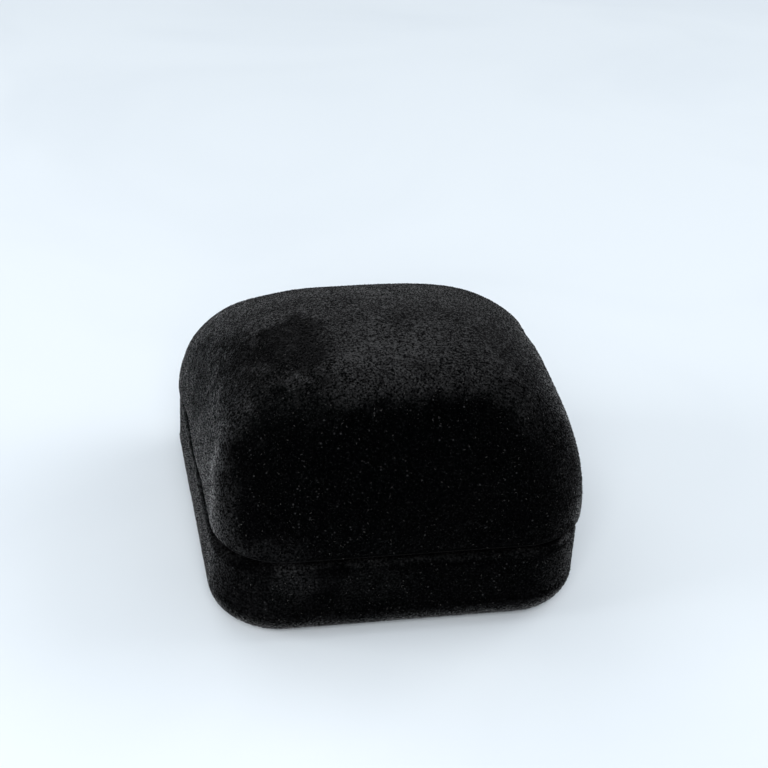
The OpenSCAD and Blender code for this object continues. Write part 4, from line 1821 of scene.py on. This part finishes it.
@dataclass
class RingPads:
    """Two foam pads under velvet, with the slot for the ring between them.

    Attributes:
        shape: Shape of the box.
        crown: Height of the pads' crowned tops above their edges.
        edge: Radius of the pads' top edges.
        slack: Gap left at first for the cover to swell into.
        foam_edge: Radius of the foam's top edges.
        foam_slack: Gap kept round the foam.
        voxel: Size of the remesh.
        stuffing: Simulation of the covers.
    """

    shape: BoxShape
    crown: float = 0.5
    edge: float = 3.2
    slack: float = 0.35
    foam_edge: float = 2.6
    foam_slack: float = 0.55
    voxel: float = 0.5
    stuffing: Stuffing = Stuffing(pressure=4.0, cap=0.6)

    def bar(self, name: str, node: str, slack: float, edge: float, scale: float = MM) -> Piece:
        """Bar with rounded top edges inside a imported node's box.

        Args:
            name: Name of the piece.
            node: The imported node.
            slack: Distance kept inside the node's box.
            edge: Radius of the top edges.
            scale: Metres for each millimetre.

        Returns:
            The bar.
        """
        low, high = extent(node)
        outer = self.shape.corner - (self.shape.half_width - high[0])
        near = 1.6
        columns = Columns.even(high[0] - low[0], high[1] - low[1], 3.5, 0.8)
        rim = high[2] - slack - self.crown
        deepest = min(high[0] - low[0], high[1] - low[1]) / 2.0
        flat = np.linspace(slack + edge, deepest * 0.97, 8)
        rise = self.crown * (1.0 - ((deepest - flat) / (deepest - slack - edge)) ** 2)
        inset, height = np.vstack([
            line((slack + 0.5, low[2]), (slack, low[2] + 0.5), 3),
            line((slack, low[2] + 0.5), (slack, rim - edge), 9),
            arc((slack + edge, rim - edge), edge, 180.0, 90.0, 12),
            np.stack([flat, rim + rise], axis=-1)]).T
        front = low[1] < 0 and high[1] < 0.01
        far = np.maximum(outer - inset, 0.4)
        close = np.maximum(near - inset * 0.3, 0.4)
        radii = [close, close, far, far] if front else [far, far, close, close]
        flat_rings = columns.rings(low[0] + inset, high[0] - inset, low[1] + inset, high[1] - inset, radii)
        return loft(name, with_height(flat_rings, height), scale=scale)

    def pad(self, name: str, node: str, velvet: Material) -> None:
        """Makes one stuffed pad.

        Args:
            name: Name of the piece.
            node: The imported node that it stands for.
            velvet: Its material.
        """
        scale = self.stuffing.scale
        rough = self.bar("rough_" + name, node, self.slack, self.edge, scale)
        remesh = rough.modifiers.new("remesh", "REMESH")
        remesh.mode = "VOXEL"
        remesh.voxel_size = self.voxel * scale
        cover = plain_copy(rough, "cover_" + name)
        drop_object(rough)
        level = read_points(cover.data)[:, 2] / scale
        low = extent(node)[0][2]
        held = 1.0 - smoothstep(low + 4.0, low + 7.0, level)
        write_points(cover, self.stuffing.settle(cover, held) / scale * MM)
        cover.data.shade_smooth()
        pad = finished(cover, name)
        lay_nap_and_light(pad, 67)
        dress(pad, Body.BASE, Slot.INNER_VELVET, velvet, node)

    def build(self, velvet: Material, foam: Material, card: Material) -> None:
        """Makes both pads with their foam, and dresses the board under them.

        Args:
            velvet: Material of the covers.
            foam: Material of the foam.
            card: Material of the board.
        """
        for end in ("front", "rear"):
            block = self.bar(f"{end}_foam_block", f"{end}_foam", self.foam_slack, self.foam_edge)
            dress(block, Body.BASE, Slot.FOAM, foam, f"{end}_foam")
            self.pad(f"{end}_ring_pad", f"{end}_pad_velvet", velvet)
        dress_node("pad_board", card)


# ---- hinge ----


@dataclass
class Hinge:
    """Leaves, pin, rivets and the two torsion springs.

    Attributes:
        shape: Shape of the box.
        wire: Radius of the spring wire.
        coil: Radius of the coil's middle line.
        pitch: Distance between turns.
        turns: Turns of each coil.
        side: Distance of each coil from the middle.
        leg: Reach of the legs from the pin.
        rivet_side: Distance of the rivets from the middle.
        rivet_drop: Distance of the rivets from the pin.
        head: Radius of a rivet's head.
        rise: Height of a rivet's head.
        shank: Radius of a rivet's shank.
        grip: Length of a rivet's shank.
    """

    shape: BoxShape
    wire: float = 0.2
    coil: float = 0.92
    pitch: float = 0.44
    turns: int = 5
    side: float = 1.0
    leg: float = 5.2
    rivet_side: float = 9.0
    rivet_drop: float = 3.9
    head: float = 1.08
    rise: float = 0.34
    shank: float = 0.58
    grip: float = 1.35

    def at_pin(self, x: float, out: float, up: float) -> list[float]:
        """Point given beside the pin, in the frame."""
        return [x, self.shape.axis_y + out, self.shape.parting + up]

    def leaned(self, x: float, out: float, up: float) -> list[float]:
        """Point beside the pin that leans with the lid's leaf."""
        c, s = math.cos(self.shape.leaf_lean), math.sin(self.shape.leaf_lean)
        return self.at_pin(x, out * c - up * s, out * s + up * c)

    def rivets(self, name: str, node: str, body: Body, steel: Material) -> None:
        """Sets the two rivets of one leaf.

        Args:
            name: Name of the piece.
            node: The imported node.
            body: The half it rides on.
            steel: Its material.
        """
        face = -self.shape.knuckle
        place = self.leaned if body is Body.LID else self.at_pin
        drop = self.rivet_drop if body is Body.LID else -self.rivet_drop
        spots, lit_tips = (np.array([place(x, out, drop) for x in (-self.rivet_side, self.rivet_side)])
                       for out in (face, face - 1.0))
        points = new_object("rivet_spots", spots * MM, [])
        way = points.data.attributes.new("way", "FLOAT_VECTOR", "POINT")
        way.data.foreach_set("vector", (lit_tips - spots).astype(np.float32).ravel())
        made = rivet_tree().apply(points, name, {
            "Head Radius": self.head * MM, "Head Height": self.rise * MM, "Shank Radius": self.shank * MM,
            "Shank Length": self.grip * MM, "Material": steel})
        drop_object(points)
        dress(made, body, Slot.RIVET, steel, node)

    def spring(self, name: str, way: float, steel: Material) -> None:
        """Makes one torsion spring: coil and base leg on the base, lid leg on the lid.

        Args:
            name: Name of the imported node.
            way: One on the right and minus one on the left.
            steel: Its material.
        """
        face = -self.shape.knuckle - 0.05 - self.wire
        start = self.shape.knuckle + self.shape.clearance
        end = self.side + self.turns * self.pitch
        steps = 28

        def coil(first: float, last: float) -> list[list[float]]:
            """Points on the coil.

            Args:
                first: Turns wound before the first point.
                last: Turns wound at the last point.

            Returns:
                The points.
            """
            count = max(int((last - first) * steps), 2)
            turns = [first + (last - first) * k / count for k in range(count + 1)]
            return [self.at_pin(way * (end - self.pitch * t), -self.coil * math.cos(2 * math.pi * t),
                                self.coil * math.sin(2 * math.pi * t)) for t in turns]

        hook = [self.at_pin(way * (end - aside), face, -self.leg + up)
                for aside, up in ((0.9, 0.02), (0.25, 0.05))]
        base_leg = [self.at_pin(way * end, face * near, up) for near, up in (
            (1.0, -self.leg + 0.35), (1.0, -self.leg * 0.7), (1.0, -start), (0.93, -0.6))]
        quarter = coil(self.turns - 0.3, self.turns - 0.02)
        lid_leg = [self.leaned(way * (self.side + aside), face * near, up) for aside, near, up in (
            (0.0, 0.93, 0.5), (0.0, 1.0, start), (0.0, 1.0, self.leg * 0.7), (0.0, 1.0, self.leg - 0.35),
            (0.25, 1.0, self.leg - 0.05), (0.9, 1.0, self.leg))]
        wound = tube(name + "_coil", hook + base_leg + coil(0.0, float(self.turns)), self.wire)
        dress(wound, Body.BASE, Slot.SPRING, steel, name)
        leg = tube(name + "_lid_leg", quarter + lid_leg, self.wire * 0.98)
        dress(leg, Body.LID, Slot.SPRING, steel)

    def build(self, steel: Material, rivet: Material, spring: Material) -> None:
        """Makes what moves at the back of the box.

        Args:
            steel: Material of the leaves and the pin.
            rivet: Material of the rivets.
            spring: Material of the springs.
        """
        for node in ("base_leaf", "lid_leaf", "hinge_pin"):
            dress_node(node, steel)
        self.rivets("base_rivet_heads", "base_rivets", Body.BASE, rivet)
        self.rivets("lid_rivet_heads", "lid_rivets", Body.LID, rivet)
        self.spring("right_spring", 1.0, spring)
        self.spring("left_spring", -1.0, spring)


def tube(name: str, path: list[list[float]], radius: float, sides: int = 10) -> Piece:
    """Round wire along a smoothed path, closed at both ends.

    Args:
        name: Name of the piece.
        path: Points in millimetres.
        radius: Radius of the wire.
        sides: Sides of the wire.

    Returns:
        The wire.
    """
    points = np.array(path)
    for _ in range(2):
        cut = np.empty((2 * len(points) - 2, 3))
        cut[0::2] = points[:-1] * 0.75 + points[1:] * 0.25
        cut[1::2] = points[:-1] * 0.25 + points[1:] * 0.75
        points = np.vstack([points[:1], cut, points[-1:]])
    gaps = np.linalg.norm(np.diff(points, axis=0), axis=1)
    points = points[np.concatenate([[True], gaps > 1e-4])]
    along = np.gradient(points, axis=0)
    along /= np.linalg.norm(along, axis=1, keepdims=True)
    across = np.cross(along[0], [1.0, 0.3, 0.2])
    rows = []
    for point, way in zip(points, along):
        across = across - way * (across @ way)
        across = across / np.linalg.norm(across)
        third = np.cross(way, across)
        turn = np.arange(sides) / sides * 2.0 * math.pi
        rows.append(point + radius * (np.outer(np.cos(turn), across) + np.outer(np.sin(turn), third)))
    return loft(name, np.array(rows), poles=(points[0], points[-1]))


# ---- inside the lid ----


@dataclass
class LidLining:
    """Velvet frame, card, wadding and satin inside the dome.

    Attributes:
        shape: Shape of the box.
        step: Spacing of the meshes of the frame and the satin.
        thickness: Thickness of the satin with its backing.
        frame_width: Width of the frame.
        frame_round: Radius of the frame's edges.
        gather: How far the satin's folds stand out at its rim.
        fleece_out: Inset of the wadding's outer face.
        fleece_in: Inset of its inner face.
        fleece_step: Spacing of its mesh.
        lumps: Height of its lumps.
        stuffing: Simulation of the satin.
    """

    shape: BoxShape
    step: float = 0.6
    thickness: float = 0.45
    frame_width: float = 3.2
    frame_round: float = 0.75
    gather: float = 0.75
    fleece_out: float = 2.82
    fleece_in: float = 4.35
    fleece_step: float = 0.9
    lumps: float = 0.12
    stuffing: Stuffing = Stuffing(pressure=1.2, bending=0.2, shrink=0.035, cap=1.1, frames=24)

    def bezel(self, velvet: Material) -> None:
        """Makes the velvet frame round the lining.

        Args:
            velvet: Its material.
        """
        s = self.shape
        low, high = extent("lid_frame")
        card_out = s.shell_in + 0.1
        inner = card_out + self.frame_width
        r = self.frame_round
        bottom, top = low[2], high[2]
        section = np.vstack([
            line((card_out, bottom + r), (card_out, top - 0.1), 4),
            line((card_out, top - 0.1), (inner - r, top), 6),
            arc((inner - r, top - r), r, 90.0, 0.0, 8),
            line((inner, top - r), (inner, bottom + r), 3),
            arc((inner - r, bottom + r), r, 0.0, -90.0, 8),
            line((inner - r, bottom), (card_out + r, bottom), 5),
            arc((card_out + r, bottom + r), r, -90.0, -180.0, 8)])
        notch = s.notch_half + s.clearance
        columns = s.columns(self.step, notch)
        rows = s.lid_rows(columns, section[:, 0], section[:, 1])
        limit = self.relief() - 0.1
        edges, heights = np.array([inner, card_out]), np.array([(bottom + top) / 2.0, bottom])
        inside, outside = s.lid_rows(columns, edges, heights)[..., 1]
        squeeze = (limit - inside) / np.maximum(outside - inside, 0.5)
        share = (1.0 - smoothstep(notch + 0.02, notch + 0.5, np.abs(rows[..., 0]))) * (rows[..., 1] > 0)
        drawn = inside + (rows[..., 1] - inside) * squeeze
        rows[..., 1] += (np.minimum(drawn, rows[..., 1]) - rows[..., 1]) * share
        rows[..., 2] += undulation(rows, 11.0, 41) * 0.03
        bezel = loft("lid_bezel", rows, endless=True)
        lay_nap_and_light(bezel, 69)
        dress(bezel, Body.LID, Slot.INNER_VELVET, velvet, "lid_frame")

    def relief(self) -> float:
        """Y of the room left in front of the lid's leaf."""
        return extent("lid_leaf")[0][1] - 0.35 - self.shape.clearance

    def fleece(self, wadding: Material) -> None:
        """Makes the lumpy wadding between the card and the satin.

        Args:
            wadding: Its material.
        """
        s = self.shape
        low = extent("lid_wadding")[0][2]
        up = s.dome_heights(self.fleece_out, low, self.fleece_step)
        down = s.dome_heights(self.fleece_in, low, self.fleece_step)[::-1]
        inset = np.concatenate([np.full(len(down), self.fleece_in), np.full(len(up), self.fleece_out)])
        rows = s.lid_rows(s.even_columns(self.fleece_step), inset, np.concatenate([down, up]))
        inside = rows[:len(down)]
        inside += grid_normals(inside) * undulation(inside, 6.0, 51)[..., None] * self.lumps
        fleece = loft("wadding_fleece", rows)
        dress(fleece, Body.LID, Slot.WADDING, wadding, "lid_wadding")

    def satin_sheet(self, inset: float, low: float) -> Piece:
        """Square-meshed sheet over the inside of the dome, facing inwards, at the simulation's scale.

        Args:
            inset: Inset of the sheet.
            low: Height of its rim.

        Returns:
            The sheet.
        """
        s = self.shape
        columns = s.even_columns(self.step)
        height = s.dome_heights(inset, low, self.step / 3.0)
        table = s.lid_rows(columns, np.full(len(height), inset), height)
        table -= grid_normals(table) * self.gathers(table, low)[..., None]
        corner = len(columns.turn)
        wide, deep = len(columns.side_x) + corner, len(columns.side_y) + corner
        x, y = np.meshgrid(np.linspace(-1, 1, wide + 1), np.linspace(-1, 1, deep + 1), indexing="ij")
        level = np.maximum(np.maximum(abs(x), abs(y)), 1e-9)
        u, v = x / level, y / level
        east, north, west = (u >= 1 - 1e-9), (v >= 1 - 1e-9), (u <= -1 + 1e-9)
        place = np.where(east, (v + 1) / 2 * deep, np.where(
            north, deep + (1 - u) / 2 * wide, np.where(
                west, deep + wide + (1 - v) / 2 * deep, 2 * deep + wide + (u + 1) / 2 * wide)))
        place = (place - corner / 2.0) % table.shape[1]
        row = (1.0 - level) * (len(height) - 1)
        row_low = np.minimum(row.astype(int), len(height) - 2)
        column_low = place.astype(int) % table.shape[1]
        column_high = (column_low + 1) % table.shape[1]
        up, along = (row - row_low)[..., None], (place - place.astype(int))[..., None]
        below, above = (table[r, column_low] * (1 - along) + table[r, column_high] * along
                        for r in (row_low, row_low + 1))
        points = below * (1 - up) + above * up
        return new_object("satin_sheet", points.reshape(-1, 3) * self.stuffing.scale,
                          sheet_faces(wide + 1, deep + 1))

    def gathers(self, table: Array, low: float) -> Array:
        """How far the satin stands inwards where it is gathered into its rim.

        Args:
            table: Rows of the dome that the satin lies on.
            low: Height of the rim.

        Returns:
            The distance at each point in millimetres.
        """
        step = np.linalg.norm(np.roll(table[:1], -1, axis=1) - table[:1], axis=2)
        along = np.cumsum(step, axis=1)
        rng = np.random.default_rng(77)
        total = along[0, -1]
        places = np.cumsum(rng.uniform(2.6, 6.0, int(total / 3.0)))
        places = places[places < total - 2.0]
        fold = np.zeros_like(along)
        depth = np.zeros_like(along)
        for place in places:
            width = rng.uniform(0.55, 1.0)
            near = np.exp(-((along - place) / width) ** 2)
            fold = np.maximum(fold, near * rng.uniform(0.5, 1.0))
            depth = depth + near * rng.uniform(4.0, 11.0)
        reach = 4.0 + depth / np.maximum(fold, 0.4)
        fade = 1.0 - np.clip((table[..., 2] - low) / reach, 0.0, 1.0)
        return self.gather * fold * fade ** 1.3

    def satin(self, satin: Material) -> None:
        """Makes the padded satin, settled as cloth with its rim held.

        Args:
            satin: Its material.
        """
        corner, far_corner = extent("lid_satin")
        low, outer = corner[2], self.shape.half_width - far_corner[0]
        scale = self.stuffing.scale
        sheet = self.satin_sheet(outer + self.thickness, low)
        rest = read_points(sheet.data)
        inward = read_vectors(sheet.data.vertex_normals, "vector")
        moved = self.stuffing.settle(sheet, 1.0 - smoothstep(low + 0.4, low + 2.5, rest[:, 2] / scale))
        outward = -np.sum((moved - rest) * inward, axis=1)
        moved += inward * np.maximum(outward, 0.0)[:, None]
        moved = rest + eased(sheet, moved - rest, 8)
        away = smoothstep(low + 2.0, low + 8.0, rest[:, 2:] / scale)
        moved += (eased(sheet, moved, 18) - moved) * away
        write_points(sheet, moved / scale * MM)
        solid = sheet.modifiers.new("thickness", "SOLIDIFY")
        solid.thickness = self.thickness * MM
        solid.offset = -1.0
        lining = finished(sheet, "satin_lining")
        dress(lining, Body.LID, Slot.SATIN, satin, "lid_satin")

    def build(self, velvet: Material, satin: Material, wadding: Material, card: Material) -> None:
        """Makes the lining from the frame inwards.

        Args:
            velvet: Material of the frame.
            satin: Material of the lining.
            wadding: Material of the wadding behind it.
            card: Material of the card behind that.
        """
        self.bezel(velvet)
        self.fleece(wadding)
        self.satin(satin)
        dress_node("lid_card", card)


# ---- studio ----


@dataclass
class Studio:
    """Pale floor, soft lights and the camera.

    Attributes:
        azimuth: Camera's turn from the front in degrees.
        elevation: Its height above the horizon in degrees.
        roll: Its turn about its own axis in degrees.
        distance: Its distance from what it looks at.
        focal: Focal length on the sensor.
        sensor: Width of the sensor.
        aim_height: Height of the point looked at.
        shift_right: How far the view's middle lies to the right of it.
        shift_up: How far above it.
    """

    azimuth: float = -13.28
    elevation: float = 29.42
    roll: float = 3.67
    distance: float = 268.66
    focal: float = 82.84
    sensor: float = 36.0
    aim_height: float = 18.0
    shift_right: float = 2.07
    shift_up: float = 5.18

    def camera(self) -> None:
        """Makes the camera."""
        az, el, roll = (math.radians(a) for a in (self.azimuth, self.elevation, self.roll))
        back = Vector((math.sin(az) * math.cos(el), -math.cos(az) * math.cos(el), math.sin(el)))
        right = Vector((math.cos(az), math.sin(az), 0.0))
        up = back.cross(right)
        turned_right = right * math.cos(roll) + up * math.sin(roll)
        turned_up = up * math.cos(roll) - right * math.sin(roll)
        aim = Vector((0.0, 0.0, self.aim_height)) + turned_right * self.shift_right
        aim += turned_up * self.shift_up
        data = bpy.data.cameras.new("camera")
        data.lens = self.focal
        data.sensor_width = self.sensor
        data.clip_start = 0.01
        obj = link_object("camera", data)
        turn = Matrix((turned_right, turned_up, back)).transposed()
        obj.matrix_world = Matrix.Translation((aim + back * self.distance) * MM) @ turn.to_4x4()
        bpy.context.scene.camera = obj

    def lamp(self, name: str, place: Point, size: float, power: float) -> None:
        """Makes a soft white lamp that faces the box.

        Args:
            name: Name of the lamp.
            place: Its place in millimetres.
            size: Its width and height in millimetres.
            power: Its power in watts.
        """
        data = bpy.data.lights.new(name, "AREA")
        data.shape = "RECTANGLE"
        data.size = data.size_y = size * MM
        data.energy = power
        obj = link_object(name, data)
        obj.location = Vector(place) * MM
        toward = Vector((0.0, 0.0, 0.015)) - obj.location
        obj.rotation_mode = "QUATERNION"
        obj.rotation_quaternion = toward.to_track_quat("-Z", "Y")

    def floor(self) -> None:
        """Makes the floor."""
        reach, count = 3000.0, 24
        across = np.sinh(np.linspace(-4.0, 4.0, count)) / math.sinh(4.0) * reach
        x, y = np.meshgrid(across, across)
        points = np.stack([x, y, np.full_like(x, -0.02)], axis=-1).reshape(-1, 3)
        floor = new_object("floor", points * MM, sheet_faces(count, count))
        floor.data.materials.append(FloorFinish().build())

    def sky(self) -> None:
        """Makes the pale surroundings and a plain view transform."""
        world = bpy.data.worlds.new("studio")
        world.use_nodes = True
        background = world.node_tree.nodes["Background"]
        background.inputs["Color"].default_value = (0.86, 0.93, 1.0, 1.0)
        background.inputs["Strength"].default_value = 0.47
        bpy.context.scene.world = world
        bpy.context.scene.view_settings.view_transform = "Standard"

    def build(self) -> None:
        """Makes the whole studio."""
        self.camera()
        self.floor()
        self.sky()
        self.lamp("back_lamp", (-200.0, 420.0, 450.0), 400.0, 0.6)
        self.lamp("left_lamp", (-500.0, -20.0, 140.0), 300.0, 1.85)
        self.lamp("right_lamp", (520.0, 100.0, 330.0), 500.0, 1.8)
        self.lamp("front_lamp", (-150.0, -600.0, 450.0), 400.0, 4.3)


def main() -> None:
    """Builds the studio, the finishes and then the box, from the base to the lid."""
    logging.basicConfig(level=logging.INFO, format="%(name)s: %(message)s")
    shape = BoxShape.from_frame()
    LOG.info("box %.1f wide, %.1f deep, %.1f high", *shape.outline[:2], shape.height)
    Studio().build()

    outer_velvet = VelvetFinish("outer_velvet", patches=NAP_AND_LIGHT_PATCHES).build()
    inner_velvet = VelvetFinish("fine_velvet", grain=0.24, mottle=8.0, mottle_depth=0.25).build()
    tuft = TuftFinish().build()
    lint = FibreFinish("lint", (0.085, 0.082, 0.079)).build()
    card = FleckedFinish("grey_board", (0.3, 0.26, 0.21), (0.2, 0.17, 0.13), grain=0.35, depth=0.04,
                         roughness=0.85, amount=0.5, run=3.0).build()
    shell = FleckedFinish("moulded_shell", (0.022, 0.022, 0.024), (0.03, 0.03, 0.032), grain=0.12,
                          depth=0.015, roughness=0.5, amount=0.3, gloss=0.45).build()
    foam = FleckedFinish("open_foam", (0.74, 0.7, 0.55), (0.45, 0.4, 0.28), grain=0.4, depth=0.12,
                         roughness=0.9, amount=0.7).build()
    wadding = FleckedFinish("loose_wadding", (0.84, 0.84, 0.8), (0.62, 0.62, 0.58), grain=0.3, depth=0.15,
                            roughness=0.9, amount=0.5, run=5.0).build()
    satin = SatinFinish().build()
    steel = SteelFinish("hinge_steel", (0.62, 0.6, 0.56), (0.46, 0.44, 0.4)).build()
    rivet = SteelFinish("rivet_steel", (0.68, 0.66, 0.62), (0.5, 0.48, 0.44),
                        roughness=0.22, line=0.1, run=1.0).build()
    spring = SteelFinish("spring_steel", (0.5, 0.5, 0.52), (0.36, 0.36, 0.38),
                         roughness=0.3, line=0.03, run=6.0).build()

    BaseCover(shape).build(outer_velvet, tuft, lint)
    Collar(shape).build(inner_velvet, card)
    RingPads(shape).build(inner_velvet, foam, card)
    Hinge(shape).build(steel, rivet, spring)
    LidCover(shape).build(outer_velvet, tuft, lint)
    LidLining(shape).build(inner_velvet, satin, wadding, card)
    for node in ("base_shell", "lid_shell"):
        dress_node(node, shell)


if __name__ == "__main__":
    main()
